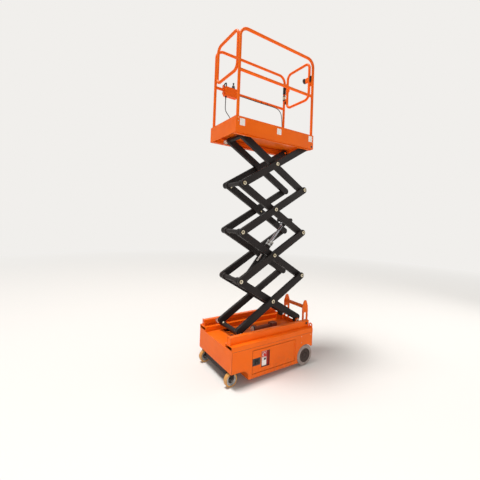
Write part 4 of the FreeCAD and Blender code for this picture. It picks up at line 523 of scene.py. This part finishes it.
def make_cable(name, route, node):
    """A round cable on one smooth line, the route's points its control points."""
    curve = bpy.data.curves.new(name, "CURVE")
    curve.dimensions = "3D"
    curve.bevel_depth = CABLE_THICK / 2
    curve.bevel_resolution = 4
    curve.resolution_u = 8
    curve.use_fill_caps = True
    line = curve.splines.new("NURBS")
    line.points.add(len(route) - 1)
    for point, place in zip(line.points, route):
        point.co = (*on_deck(place), 1)
    line.order_u = 3
    line.use_endpoint_u = True
    cable = bpy.data.objects.new(name, curve)
    bpy.context.scene.collection.objects.link(cable)
    curve.materials.append(FINISHES["cable_black"])
    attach(cable, "platform")
    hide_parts(node)


# Scissor

REAR_PIN = PIVOTS["inner_3"].x
FRONT_PIN = PIVOTS["outer_2"].x
MIDDLE_PIN = PIVOTS["outer_1"].x
STAGE_RISE = PIVOTS["inner_3"].z - PIVOTS["outer_2"].z
LOW_PIN = PIVOTS["outer_2"].z - STAGE_RISE
STAGES = (1, 2, 3, 4)
# Outer faces of the pins' heads, and of those at the base pivot, and inner faces of the inner arms
HEAD_FACE = 0.2245
BASE_HEAD_FACE = 0.189
INNER_WALL = 0.126


def stage_pins(stage):
    """Places of a stage's headed pins on the left, fixed in its inner arms."""
    rear = (REAR_PIN, HEAD_FACE, LOW_PIN + (stage - 1) * STAGE_RISE)
    if stage == STAGES[0]:
        rear = (PIVOTS["inner_1"].x, BASE_HEAD_FACE, PIVOTS["inner_1"].z)
    pins = [rear, (MIDDLE_PIN, HEAD_FACE, LOW_PIN + (stage - 0.5) * STAGE_RISE)]
    if stage != STAGES[-1]:
        pins.append((FRONT_PIN, HEAD_FACE, LOW_PIN + stage * STAGE_RISE))
    return pins


def make_pin_ends():
    """On each pin a plated cap with a sunk middle, a dark plug in it and a grease nipple."""
    cap = turned(((21, 0), (21, 0.9), (20.2, 1.6), (13, 1.6), (12, 0.9)), 32)
    plug = turned(((11.5, 0.8), (11.5, 1.3), (10.5, 1.6)), 24)
    nipple = turned(((3.2, 1.4), (3.2, 2.6), (2.0, 3.2), (2.4, 4.0), (1.2, 4.8)), 12)
    for stage in STAGES:
        body = "inner_%d" % stage
        spots = [((x, sign * y, z), (0, sign, 0)) for x, y, z in stage_pins(stage) for sign in SIGNS]
        piece("pin_caps_%d" % stage, [placed(shape, *spot) for spot in spots for shape in (cap, nipple)],
              "zinc", body)
        piece("pin_plugs_%d" % stage, [placed(plug, *spot) for spot in spots], "black_paint", body)


def make_pin_keepers():
    """Bolts that keep the pins, on the inner faces of the inner arms, a little down the arm from each
    pin."""
    bolt = hex_bolt(8, 6)
    down_arm = Vector((REAR_PIN - FRONT_PIN, 0, -STAGE_RISE)).normalized() * 0.042
    for stage in STAGES:
        spots = [Vector((x, 0, z)) + down_arm for x, y, z in stage_pins(stage)[1:]]
        piece("pin_keepers_%d" % stage,
              [placed(bolt, spot + Vector((0, sign * INNER_WALL, 0)), (0, -sign, 0))
               for spot in spots for sign in SIGNS], "zinc", "inner_%d" % stage)


def make_tube_welds():
    """Weld beads round both ends of each cross tube: a rounded fillet whose radius ripples."""
    bead = hoop(((24.6, 0), (29.5, 0), (28.6, 2.6), (26.4, 4.6), (24.6, 5)), 72, wave=0.012, waves=36)
    for stage in STAGES:
        height = LOW_PIN + stage * STAGE_RISE
        piece("tube_welds_%d" % stage,
              [placed(bead, (FRONT_PIN, sign * INNER_WALL, height), (0, -sign, 0)) for sign in SIGNS],
              "black_paint", "inner_%d" % stage)


# Along the cylinder from its lower eye, in millimetres
BASE_PORT = 100
HIGHLIGHT_STRIP_MIDDLE = 394
GLAND_PORT = 651
GLAND_END = 670
# From the cylinder's axis, in millimetres: the feet of the painted slot shade in the gland's collar,
# and the back of the white strip that paints the barrel's highlight
SLOT_FOOT = 41.6
HIGHLIGHT_STRIP_BACK = 37


def make_cylinder_fittings():
    """On the barrel a steel pipe to the gland's port with its nuts, a bright collar over the gland with
    six black patches that paint the shade in its slots, a wiper at the rod and a blank white strip that
    paints the barrel's highlight."""
    joint = next(joint for joint in frame["joints"] if joint["child"] == "rod")
    way = Vector(joint["axis"]).normalized()
    across = Vector((way.z, 0, -way.x))
    left = Vector(LEFT)

    def spot(along, out):
        return PIVOTS["barrel"] + (way * along + left * out) / 1000

    corners = [spot(along, out) * 1000
               for along, out in ((BASE_PORT, 34), (BASE_PORT, 52), (BASE_PORT + 18, 54), (375, 54),
                                  (GLAND_PORT - 12, 54), (GLAND_PORT, 52), (GLAND_PORT, 38))]
    nut = turned(((9, 0), (9, 9), (7.5, 10), (6, 10), (6, 13)), 6)
    piece("cylinder_pipe", [placed(piped(curved(corners, 10), 4, across))], "black_paint", "barrel")
    piece("cylinder_nuts", [placed(nut, spot(*port), LEFT) for port in ((BASE_PORT, 37), (GLAND_PORT, 41))],
          "zinc", "barrel")
    collar = hoop(((20, 0), (39, 0), (39, 32), (42.5, 35), (42.5, 69), (41, 70.4), (20, 70.4)), 48)
    piece("gland_collar", [placed(collar, spot(GLAND_END - 70, 0), way)], "silver_hub", "barrel")
    label = plate(rounded(104, 17, 2), 2, 0.2)
    out = (across + left).normalized()
    # A blank white strip along the barrel's upper left side paints its highlight
    piece("barrel_highlight_strip",
          [placed(label, spot(HIGHLIGHT_STRIP_MIDDLE, 0) + out * HIGHLIGHT_STRIP_BACK / 1000, out, out.cross(way))],
          "label_film", "barrel")
    wiper = hoop(((18.4, 0), (26, 0), (26, 3), (22, 5), (18.4, 5)), 40)
    piece("rod_wiper", [placed(wiper, spot(GLAND_END, 0), way)], "seal_rubber", "barrel")
    # Black patches on the collar paint the shade in its six slots
    slot_shade = plate(rounded(5, 9, 2), 1.2, 0.3)
    outward = [left * y + across * x for x, y in around(SLOT_FOOT, 6, 0.3)]
    middle = spot(GLAND_END - 20, 0)
    piece("gland_slot_shades", [placed(slot_shade, middle + reach / 1000, reach) for reach in outward],
          "seal_rubber", "barrel")


def make_base_bar():
    """Over the bar between the lower rollers a black tube with a collar at each end, a plated bolt
    through each collar, and on each roller a plated washer."""
    low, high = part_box("base_rollers")
    middle = (low + high) / 2
    long = 355
    collar = 29
    tube = turned(((collar, 0), (collar, 50), (27, 52), (25.6, 53),
                   (25.6, 302), (27, 303), (collar, 305), (collar, long)), 32)
    piece("base_bar", [placed(tube, (middle.x, -long / 2000, middle.z), LEFT)],
          "black_paint", "outer_1")
    bolt = hex_bolt(11, 8)
    upward = Vector((0.6, 0, 0.8))
    seat = middle + upward * (collar - 0.5) / 1000
    piece("base_bar_bolts", [placed(bolt, seat + Vector((0, sign * 0.143, 0)), upward)
                             for sign in SIGNS], "zinc", "outer_1")
    cap = turned(((22, 0), (22, 1.2), (20, 2.2), (9, 2.2), (8, 1.2)), 32)
    piece("base_roller_caps", [placed(cap, (middle.x, sign * high.y, middle.z), (0, sign, 0))
                               for sign in SIGNS], "zinc", "outer_1")


# Running gear

def make_drive_tyres():
    """Solid tyres with a crowned tread, two grooves and a raised bead ring on each wall."""
    wall = ((84, -30), (92, -30), (94, -28.6), (106, -28.6), (108, -30), (112, -30), (117, -27.5),
            (120.8, -24), (121.8, -21), (122, -12), (119.6, -11), (119.6, -8), (122, -7))
    profile = wall + tuple((radius, -height) for radius, height in reversed(wall))
    for side, sign in SIDES:
        body = "drive_wheel_" + side
        piece("tyre_" + side, [placed(hoop(profile, 96), PIVOTS[body], (0, sign, 0))],
              "grey_tyre", body, ["drive_tyre_" + side])


def make_drive_hubs():
    """A centre cap and five wheel nuts in the dish of each drive hub, enamelled with it."""
    cap = turned(((25, 0), (25, 4), (23, 7), (16, 8.5), (6, 9)), 32)
    nut = hex_bolt(7.5, 6.5)
    for side, sign in SIDES:
        body = "drive_wheel_" + side
        way = Vector((0, sign, 0))
        bottom = PIVOTS[body] + way * 0.0138
        seats = PIVOTS[body] + way * 0.0218
        piece("hub_caps_" + side, [placed(cap, bottom, way)], "dark_hub", body)
        piece("wheel_nuts_" + side, [placed(nut, seats + Vector((x, 0, z)) / 1000, way)
                                     for x, z in around(50, 5, math.pi / 2)], "dark_hub", body)


def make_caster_parts():
    """Axle nuts on both legs of each fork, and a seal ring in each side of the front hubs."""
    nut = joined((turned(((15, 0), (15, 1.6), (14, 2)), 24), turned(((11, 1.8), (11, 8), (9.6, 9)), 6),
                  turned(((6.5, 8.8), (6.5, 11), (5.5, 12)), 16)))
    seal = hoop(((20, 0), (34, 0), (33, 1.6), (21, 1.6)), 48)
    ways = (Vector(LEFT), Vector(RIGHT))
    for side in dict(SIDES):
        wheel = PIVOTS["front_wheel_" + side]
        piece("axle_nuts_" + side, [placed(nut, wheel + way * 0.037, way) for way in ways],
              "grey_metal", "fork_" + side)
        piece("hub_seals_" + side, [placed(seal, wheel + way * 0.0149, way) for way in ways],
              "seal_rubber", "front_wheel_" + side)


# Side doors and panels

# Out from the middle of the machine to the face of the doors and side panels, and from that face to
# the floor of the switch recess, in millimetres
SIDE_FACE = 377
RECESS_FLOOR = -11


def make_door_fittings():
    """On each door a latch paddle on its plate. In the recess a dull red sheet that paints its shade, and
    a panel with an emergency button on its plate, in a white collar that is a painted highlight, a blank
    label, a socket and four screws."""
    latch_plate = plate(rounded(98, 72, 6), 1.0, 0.4)
    paddle = plate(rounded(58, 52, 5), 2.6, 1.0)
    grip = plate(rounded(44, 8, 3), 2.2, 0.9)
    lock = turned(((8, 0), (8, 1.6), (7, 2.2)), 24)
    panel = plate(rounded(62, 158, 4), 3, 0.8)
    label = plate(rounded(54, 46, 3), 0.5, 0.15)
    red_plate = plate(rounded(58, 60, 3), 1, 0.3)
    button = turned(((9, 0), (9, 3), (16, 4), (17, 5.5), (16, 7.5), (9, 8.6)), 32)
    collar = hoop(((9.2, 0), (23, 0), (23, 0.6), (21.6, 1.2), (9.2, 1.2)), 40)
    socket = plate(rounded(26, 20, 3), 4.5, 1)
    screw = dome_bolt(2.6, 1.4)
    lining = plate(rounded(107, 162, 3), 1.2, 0.3)
    # Each piece's shapes, with x, z and how far out from the door's face
    fittings = (
        ("latch_frame_", "black_plastic", [(latch_plate, 268, 221, 0)]),
        ("latch_paddle_", "black_paint", [(paddle, 268, 221, 0.9), (grip, 268, 238, 3.4)]),
        ("latch_lock_", "black_plastic", [(lock, 268, 212, 3.3)]),
        ("switch_panel_", "white_enamel", [(panel, 158, 230, RECESS_FLOOR)]),
        ("switch_label_", "label_film", [(label, 158, 184, RECESS_FLOOR + 2.9)]),
        ("switch_plate_", "red_button", [(red_plate, 158, 274, RECESS_FLOOR + 2.8)]),
        ("switch_button_", "red_button", [(button, 160, 274, RECESS_FLOOR + 4)]),
        # The collar's white is a painted highlight on the red button
        ("switch_collar_highlight_", "white_enamel", [(collar, 160, 274, RECESS_FLOOR + 3.6)]),
        ("switch_socket_", "black_plastic", [(socket, 150, 224, RECESS_FLOOR + 2.8)]),
        ("switch_screws_", "zinc", [(screw, 158 + x, 230 + z, RECESS_FLOOR + 2.9)
                                    for x in (-27, 27) for z in (-74, 74)]),
        # This dull red sheet round the switch panel is painted shade in the recess
        ("recess_shade_lining_", "red_enamel", [(lining, 145.5, 230, RECESS_FLOOR - 0.6)]))
    for side, sign in SIDES:
        for name, finish, parts in fittings:
            piece(name + side, [placed(shape, at(x, sign * (SIDE_FACE + out), z), (0, sign, 0))
                                for shape, x, z, out in parts], finish, "door_" + side)


def make_side_covers():
    """Riveted cover plate at the rear of each side panel, over the wheel arch."""
    thick = 1.4
    cover = plate(((-86, -54), (86, -30), (86, 54), (-86, 54)), thick, 0.5)
    bolt = dome_bolt(5, 2.6)
    bolt_face = SIDE_FACE + thick - 0.1
    for side, sign in SIDES:
        way = (0, sign, 0)
        piece("side_cover_" + side, [placed(cover, at(-480, sign * SIDE_FACE, 322), way)],
              "orange_paint", "chassis")
        piece("side_cover_bolts_" + side, [placed(bolt, at(x, sign * bolt_face, z), way)
                                           for x, z in ((-403, 362), (-403, 286), (-556, 362))],
              "zinc", "chassis")


def make_body_seams():
    """Black strips under the lips of the side lids and in the seams at the front corners, which paint
    the shade in those gaps, a painted frame round the front end of each roller rail, and a grommet in
    the hole near its rear end, whose black membrane paints the hole's shade."""
    lip = plate(rounded(1170, 3, 1), 1.8, 0.4)
    seam = plate(rounded(2.4, 218, 0.8), 0.6, 0.2)
    end_frame = bordered(63, 82, 6, 5, 4)
    for side, sign in SIDES:
        way = (0, sign, 0)
        # A black strip under each lid's lip paints the shadow in the gap there
        piece("lid_shadow_strip_" + side, [placed(lip, at(-2, sign * (SIDE_FACE - 0.4), 383.2), way)],
              "seal_rubber", "chassis")
        # A black strip in each front corner's seam paints the shade in it
        piece("front_seam_shade_" + side, [placed(seam, at(584, sign * (SIDE_FACE - 0.3), 272), way)],
              "seal_rubber", "chassis")
        piece("rail_frame_" + side, [placed(end_frame, at(580, sign * 302.5, 477), FRONT)],
              "orange_paint", "chassis")
        # The grommet's black membrane paints the shade of the hole it sits in
        piece("rail_grommet_shade_" + side, [placed(grommet(), at(-530, sign * 329.8, 488), way)],
              "seal_rubber", "chassis")


def make_hatch_pan():
    """Painted pan under the hatch in the floor, with two raised rings round black discs that paint the shade of
    two drain holes.
    """
    pan = plate(rounded(104, 440, 8), 3, 1)
    rim = hoop(((20, 0), (26, 0), (26, 2), (24, 3), (20, 3)), 32)
    hole = turned(((20.5, 0), (20.5, 0.6), (20, 0.8)), 32)
    holes = ((296, -95), (322, 40))
    piece("hatch_pan", [placed(pan, at(310, 0, 340))] + [placed(rim, at(x, y, 343)) for x, y in holes],
          "orange_paint", "chassis")
    # Black discs inside the rings paint the shade of the holes
    piece("hatch_pan_hole_shades", [placed(hole, at(x, y, 342.8)) for x, y in holes], "seal_rubber", "chassis")


# Platform

# Middle line of the tubes on the right side, and height of their middle rail
RIGHT_TUBES_Y = -0.272
MID_RAIL_Z = 3.380


def make_toe_board_parts():
    """Blank white labels on the left side, and bolts and a grommet, whose black membrane paints a hole's shade, at
    the corners of both sides.
    """
    # Middle along, middle height, width and height of each label
    labels = ((509, 2806, 66, 76), (-12, 2805, 66, 70), (-532, 2814, 62, 74))
    outside = toe_high.y
    piece("side_labels",
          [placed(plate(rounded(wide, tall, 6), 0.5, 0.15), at(x, outside * 1000, z), LEFT)
           for x, z, wide, tall in labels], "label_film", "platform")
    bolt = dome_bolt(5, 2.8)
    front, rear = toe_high.x - 0.029, toe_low.x + 0.012
    spots = ((front, 2.848), (front, 2.810), (rear, 2.846), (rear, 2.812), (rear, 2.778))
    piece("toe_board_bolts", [placed(bolt, (x, sign * outside, z), (0, sign, 0))
                              for x, z in spots for sign in SIGNS], "zinc", "platform")
    # Each grommet's black membrane paints the shade of the hole it sits in
    inset = 0.030
    piece("toe_board_grommet_shades",
          [placed(grommet(), (toe_low.x + inset, sign * outside, toe_low.z + inset), (0, sign, 0))
           for sign in SIGNS], "seal_rubber", "platform")


def make_deck_tread():
    """Chequer plate: lens-shaped bars, raised 1.4 mm, in two crossed directions on a 30 mm pitch.
    A bar's edge is |across| = half width (1 - (along / half length)^2)."""
    along = np.array((-1, -0.55, 0, 0.55, 1, 0.55, 0, -0.55))
    across = np.array((0, -0.7, -1, -0.7, 0, 0.7, 1, 0.7))
    corners = len(along)
    low = np.column_stack((along * 11, across * 3.2, np.zeros(corners)))
    high = np.column_stack((along * 8.5, across * 1.7, np.full(corners, 1.4)))
    points = np.vstack((low, high))
    pitch = 30
    columns = np.arange(deck_low.x * 1000 + 36, deck_high.x * 1000 - 30, pitch)
    rows = np.arange(deck_low.y * 1000 + 56, deck_high.y * 1000 - 50, pitch)
    column, row = (grid.reshape(-1, 1)
                   for grid in np.meshgrid(np.arange(len(columns)), np.arange(len(rows))))
    turn = np.where((column + row) % 2 == 0, math.pi / 4, -math.pi / 4)
    x = points[:, 0] * np.cos(turn) - points[:, 1] * np.sin(turn) + columns[column]
    y = points[:, 0] * np.sin(turn) + points[:, 1] * np.cos(turn) + rows[row]
    z = np.broadcast_to(points[:, 2] + deck_high.z * 1000 - 0.2, x.shape)
    start = np.arange(len(turn))[:, None] * len(points)
    quads = np.array(ring_faces(2, corners)) + start[:, None]
    tops = np.arange(corners, 2 * corners) + start
    bottoms = np.arange(corners)[::-1] + start
    faces = quads.reshape(-1, 4).tolist() + tops.tolist() + bottoms.tolist()
    piece("deck_tread", [placed((np.stack((x, y, z), axis=-1).reshape(-1, 3), faces))],
          "orange_paint", "platform")


# Of the control box's node, its case without the end bracket
BOX_LONG = 0.185
BOX_TALL = 0.112
# How far ahead of the case's middle the joystick's guard stands, in millimetres
GUARD_AHEAD = 78.5


def on_box(x, y, z):
    """A place in the row's frame from millimetres that count from the middle of the case's top."""
    return (box_low.x + BOX_LONG / 2 + x / 1000, (box_low.y + box_high.y) / 2 + y / 1000,
            box_low.z + BOX_TALL + z / 1000)


def make_box_parts():
    """On the control box a lid with screws, three buttons and a stop button."""
    lid = plate(rounded(158, 50, 8), 2, 0.8)
    face = 1.5
    piece("box_lid", [placed(lid, on_box(0, 0, -0.3), UP)], "black_plastic", "platform")
    screw = dome_bolt(3, 1.8)
    piece("box_screws", [placed(screw, on_box(x, y, face)) for x in (-73, 73) for y in (-19, 19)],
          "zinc", "platform")
    button = turned(((7, 0), (7, 4), (5.5, 5.5)), 20)
    piece("box_buttons", [placed(button, on_box(x, 14, face)) for x in (0, 21, 42)],
          "black_plastic", "platform")
    stop = turned(((8, 0), (8, 4), (13, 5), (13.4, 7), (11, 9.5), (6, 10.4)), 28)
    piece("box_stop_button", [placed(stop, on_box(21, -12, face))], "red_button", "platform")


def make_joystick():
    """Rubber bellows with three folds, a grip that swells to its head, and a bent guard on two feet."""
    stick = turned(((20, 0), (20, 4), (18, 6), (21, 11), (21, 15), (18, 19), (20.5, 24), (20.5, 28),
                    (17, 32), (19, 37), (18.4, 40), (14, 45), (12, 50), (8.5, 54), (8, 62), (9, 67),
                    (11, 72), (11.4, 77), (9.5, 82), (6, 84)), 32)
    guard_half, guard_tall = 24, 46
    arch = [(0, sign * guard_half, height) for sign, height in
            ((-1, 0), (-1, 16), (-1, guard_tall), (1, guard_tall), (1, 16), (1, 0))]
    guard = piped(curved(arch), 7.5, FRONT, 16)
    foot = turned(((12, 0), (12, 2), (10, 3.4), (7.6, 4)), 24)
    piece("joystick_set",
          [placed(stick, on_box(-38, 0, 0)), placed(guard, on_box(GUARD_AHEAD, 0, 0))]
          + [placed(foot, on_box(GUARD_AHEAD, y, 0)) for y in (-guard_half, guard_half)],
          "black_plastic", "platform", ["joystick"])


def make_cable_glands():
    """On both ends of both cables a hex nut, a ribbed dome and a tapered strain relief, and plastic ties
    that hold the long cable under the middle rail."""
    profile = [(10.6, 5), (11, 6), (10.6, 16), (10.2, 17), (8.4, 19)]
    ribs = [(radius - 0.25 * (step % 2), 20 + 3 * step)
            for step, radius in enumerate(np.linspace(8, 5.8, 10))]
    nut = turned(((12.4, 0), (12.4, 5), (11.2, 6)), 6)
    sleeve = turned(profile + ribs, 24)
    ends = ((DROP_CABLE[0], DOWN), (DROP_CABLE[-1], UP), (RAIL_CABLE[0], REAR), (RAIL_CABLE[-1], UP))
    spots = [(on_deck(point) - Vector(way) * GLAND_LONG, way) for point, way in ends]
    piece("cable_glands", [placed(shape, *spot) for spot in spots for shape in (nut, sleeve)],
          "black_plastic", "platform")
    ties = []
    for point in RAIL_CABLE[4:7]:
        cable = on_deck(point)
        below = ((cable.y - RIGHT_TUBES_Y) * 1000, (cable.z - MID_RAIL_Z) * 1000)
        band = strap((0, 0), 17.2, below, 5.3, wide=4.5, thick=1.2)
        ties.append(placed(band, (cable.x, RIGHT_TUBES_Y, MID_RAIL_Z), FRONT))
    piece("cable_ties", ties, "black_plastic", "platform")


def make_gate_latch():
    """Latch on the gate: a painted housing over its catch, with a round black knob on a neck, and a
    painted keeper on the post."""
    housing = plate(rounded(62, 60, 8), 24, 3)
    knob = turned(((9, 0), (9, 10), (22, 13), (34, 17), (36, 21), (35, 26), (27, 29)), 36)
    keeper = plate(((-17, -28), (14, -34), (17, 6), (10, 30), (-12, 30), (-17, 20)), 6, 1)
    piece("latch_housing", [placed(housing, (POST_X - 0.012, 0.1805, 3.6295), FRONT)],
          "orange_paint", "gate")
    piece("latch_knob", [placed(knob, (POST_X, 0.150, 3.634), RIGHT)], "black_plastic", "gate")
    piece("latch_keeper", [placed(keeper, (POST_X - 0.003, 0.248, 3.555), FRONT)],
          "orange_paint", "platform")


def make_post_fittings():
    """On the right rear post a plated bushing between two dark rings, a black sleeve at the upper
    hinge, and on the gate beside it a painted gusset."""
    sleeve = turned(((19, 0), (20.5, 1.5), (20.5, 104), (19, 106)), 32)
    gusset = plate(((-30, -50), (4, -50), (42, -14), (42, 14), (4, 50), (-30, 50)), 8, 1)
    bush = turned(((21, 0), (22, 2), (22, 40), (21, 42)), 32)
    ring = turned(((20, 0), (20.5, 1), (20.5, 15), (20, 16)), 32)
    piece("hinge_sleeve", [placed(sleeve, (POST_X, RIGHT_TUBES_Y, 3.592))], "black_paint", "platform")
    piece("gate_gusset", [placed(gusset, (POST_X - 0.004, -0.206, 3.622), FRONT)],
          "orange_paint", "gate")
    piece("post_bushing", [placed(bush, (POST_X, RIGHT_TUBES_Y, 3.516))], "zinc", "platform")
    piece("post_rings", [placed(ring, (POST_X, RIGHT_TUBES_Y, z)) for z in (3.499, 3.559)],
          "black_plastic", "platform")


# Inside

def make_pump_parts():
    """On the pump a pale end bell with a black ring, tie bolts, a relay, and pipes that run to the
    rear."""
    low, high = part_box("hydraulic_pump")
    axis_y, axis_z = (low.y + high.y) / 2, low.z + 0.042
    bell = turned(((34, 0), (34, 2), (31, 6), (12, 8), (11, 11)), 36)
    ring = hoop(((34.5, -14), (39.2, -14), (39.2, 0), (34.5, 0)), 48)
    piece("pump_bell", [placed(bell, (high.x - 0.001, axis_y, axis_z), FRONT)], "cast_white", "chassis")
    piece("pump_ring", [placed(ring, (high.x, axis_y, axis_z), FRONT)], "seal_rubber", "chassis")
    bolt = hex_bolt(4, 4)
    piece("pump_bolts", [placed(bolt, (high.x + 0.003, axis_y + y / 1000, axis_z + z / 1000), FRONT)
                         for y, z in around(25, 2, 0.6)], "zinc", "chassis")
    relay = turned(((12, 0), (13, 1), (13, 54), (11, 56), (5, 56), (5, 64)), 24)
    piece("pump_relay", [placed(relay, (low.x + 0.12, high.y + 0.0125, low.z + 0.020), FRONT)],
          "zinc", "chassis")
    # How far each pipe lies out from the pump's side and up from its foot, and its radius
    pipes = (("pump_return_pipe", 12, 13, 5, "copper_pipe"), ("pump_feed_pipe", 3, 38, 5, "copper_pipe"),
             ("pump_steel_pipe", -8, 26, 4, "zinc"))
    for name, out, rise, radius, finish in pipes:
        y, z = high.y * 1000 + out, low.z * 1000 + rise
        corners = ((84, y - 30, z - 4), (62, y - 8, z), (20, y, z), (-60, y + 1, z + 1), (-120, y, z),
                   (-165, y - 6, z), (-190, y - 24, z + 2), (-205, y - 34, z))
        piece(name, [placed(piped(curved(corners, 8), radius, UP))], finish, "chassis")


def make_battery_parts():
    """On the battery block four lids with three filler caps each, terminals, and two link straps."""
    low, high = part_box("battery_block")
    lid_top = high.z + 0.008
    lid = plate(rounded(164, 246, 14), 9, 2)
    cap = turned(((13, 0), (13, 5), (11, 7), (4, 7)), 20)
    post = turned(((9, 0), (9, 8), (7.5, 12)), 20)
    middles = [((low.x + high.x) / 2 + x, y) for x in (-0.088, 0.088) for y in (-0.130, 0.130)]
    piece("battery_lids", [placed(lid, (*spot, high.z - 0.0005)) for spot in middles],
          "battery_case", "chassis")
    piece("battery_caps", [placed(cap, (x, y + away, lid_top))
                           for x, y in middles for away in (-0.07, 0, 0.07)], "black_plastic", "chassis")
    piece("battery_posts", [placed(post, (x + away, y + 0.1, lid_top))
                            for x, y in middles for away in (-0.06, 0.06)], "zinc", "chassis")
    start, end = (middles[0][0] + 0.06) * 1000, (middles[2][0] - 0.06) * 1000
    z = high.z * 1000 + 18
    links = [curved(((start, y, z), (start + 12, y, z + 8), (end - 12, y, z + 8), (end, y, z)), 6)
             for y in (-30, 230)]
    piece("battery_links", [placed(piped(link, 5, LEFT, 12)) for link in links],
          "cable_black", "chassis")


def make_ladder_parts():
    """Bolts on the ladder's tabs and painted ribs on its step."""
    low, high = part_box("entry_ladder")
    bolt = hex_bolt(6, 5)
    piece("ladder_bolts", [placed(bolt, (high.x - 0.010, sign * 0.179, z), (0, sign, 0))
                           for sign in SIGNS for z in (0.330, 0.414)], "zinc", "chassis")
    rib = plate(rounded(7, 324, 3), 3.5, 1)
    step_x, step_top = high.x - 0.070, 0.6368
    piece("step_ribs", [placed(rib, (step_x + x, 0, step_top))
                        for x in (-0.022, -0.011, 0, 0.011, 0.022)], "orange_paint", "chassis")


# Stage: pale floor, lamps and world

FLOOR_REACH = 60
BACKGROUND = "#F1EFEC"


def background_rays(tree):
    """1 for the rays that show the plain background: seen straight, mirrored or through glass."""
    rays = add(tree, "ShaderNodeLightPath").outputs
    mirrored = add(tree, "ShaderNodeMath", (),
                   [(0, rays["Is Glossy Ray"]), (1, rays["Is Transmission Ray"])], operation="MAXIMUM")
    return add(tree, "ShaderNodeMath", (), [(0, rays["Is Camera Ray"]), (1, mirrored)],
               operation="MAXIMUM")


def make_stage():
    """A wide pale floor that fades into a pale background, three large soft lamps and the world."""
    corners = [(x * FLOOR_REACH, y * FLOOR_REACH, 0) for x, y in ((-1, -1), (1, -1), (1, 1), (-1, 1))]
    mesh = bpy.data.meshes.new("floor")
    mesh.from_pydata(corners, [], [(0, 1, 2, 3)])
    floor = bpy.data.objects.new("floor", mesh)
    bpy.context.scene.collection.objects.link(floor)
    material, tree, shader, place = start_material("pale_floor")
    shader.inputs["Base Color"].default_value = colour("#E4E0DB")
    shader.inputs["Roughness"].default_value = 0.9
    far = add(tree, "ShaderNodeVectorMath", (), [(0, place)], operation="LENGTH").outputs["Value"]
    fade = add(tree, "ShaderNodeMapRange", [(1, 3.0), (2, 12.0)], [(0, far)])
    share = add(tree, "ShaderNodeMath", (), [(0, fade), (1, background_rays(tree))],
                operation="MULTIPLY")
    sky = add(tree, "ShaderNodeEmission", [("Color", colour(BACKGROUND)), ("Strength", 1.0)])
    mixed = add(tree, "ShaderNodeMixShader", (), [(0, share), (1, shader), (2, sky)])
    output = next(node for node in tree.nodes if node.type == "OUTPUT_MATERIAL")
    tree.links.new(mixed.outputs[0], output.inputs[0])
    mesh.materials.append(material)

    world = bpy.data.worlds.new("studio")
    world.use_nodes = True
    bpy.context.scene.world = world
    tree = world.node_tree
    tree.nodes.clear()
    light = add(tree, "ShaderNodeBackground", [("Color", colour("#F2F1EF")), ("Strength", 0.36)])
    shown = add(tree, "ShaderNodeBackground", [("Color", colour(BACKGROUND)), ("Strength", 1.0)])
    mix = add(tree, "ShaderNodeMixShader", (), [(0, background_rays(tree)), (1, light), (2, shown)])
    add(tree, "ShaderNodeOutputWorld", (), [(0, mix)])

    # Place, side in metres and power in watts
    lamps = (("key_lamp", at(4600, -1500, 20000), 5.0, 3950),
             ("fill_lamp", at(2600, 4500, 1300), 2.6, 75),
             ("back_lamp", at(-5200, 1500, 3200), 3.5, 60))
    middle = at(0, 0, 1700)
    for name, where, side, power in lamps:
        lamp = bpy.data.lights.new(name, "AREA")
        lamp.size = side
        lamp.energy = power
        thing = bpy.data.objects.new(name, lamp)
        aim = (middle - where).to_track_quat("-Z", "Y")
        thing.matrix_world = Matrix.Translation(where) @ aim.to_matrix().to_4x4()
        bpy.context.scene.collection.objects.link(thing)


bpy.context.scene.view_settings.view_transform = "Standard"
make_camera()
dress_nodes()
make_cable("drop_control_cable", DROP_CABLE, "drop_cable")
make_cable("rail_control_cable", RAIL_CABLE, "rail_cable")
make_pin_ends()
make_pin_keepers()
make_tube_welds()
make_cylinder_fittings()
make_base_bar()
make_drive_tyres()
make_drive_hubs()
make_caster_parts()
make_door_fittings()
make_side_covers()
make_body_seams()
make_hatch_pan()
make_toe_board_parts()
make_deck_tread()
make_box_parts()
make_joystick()
make_cable_glands()
make_gate_latch()
make_post_fittings()
make_pump_parts()
make_battery_parts()
make_ladder_parts()
make_stage()
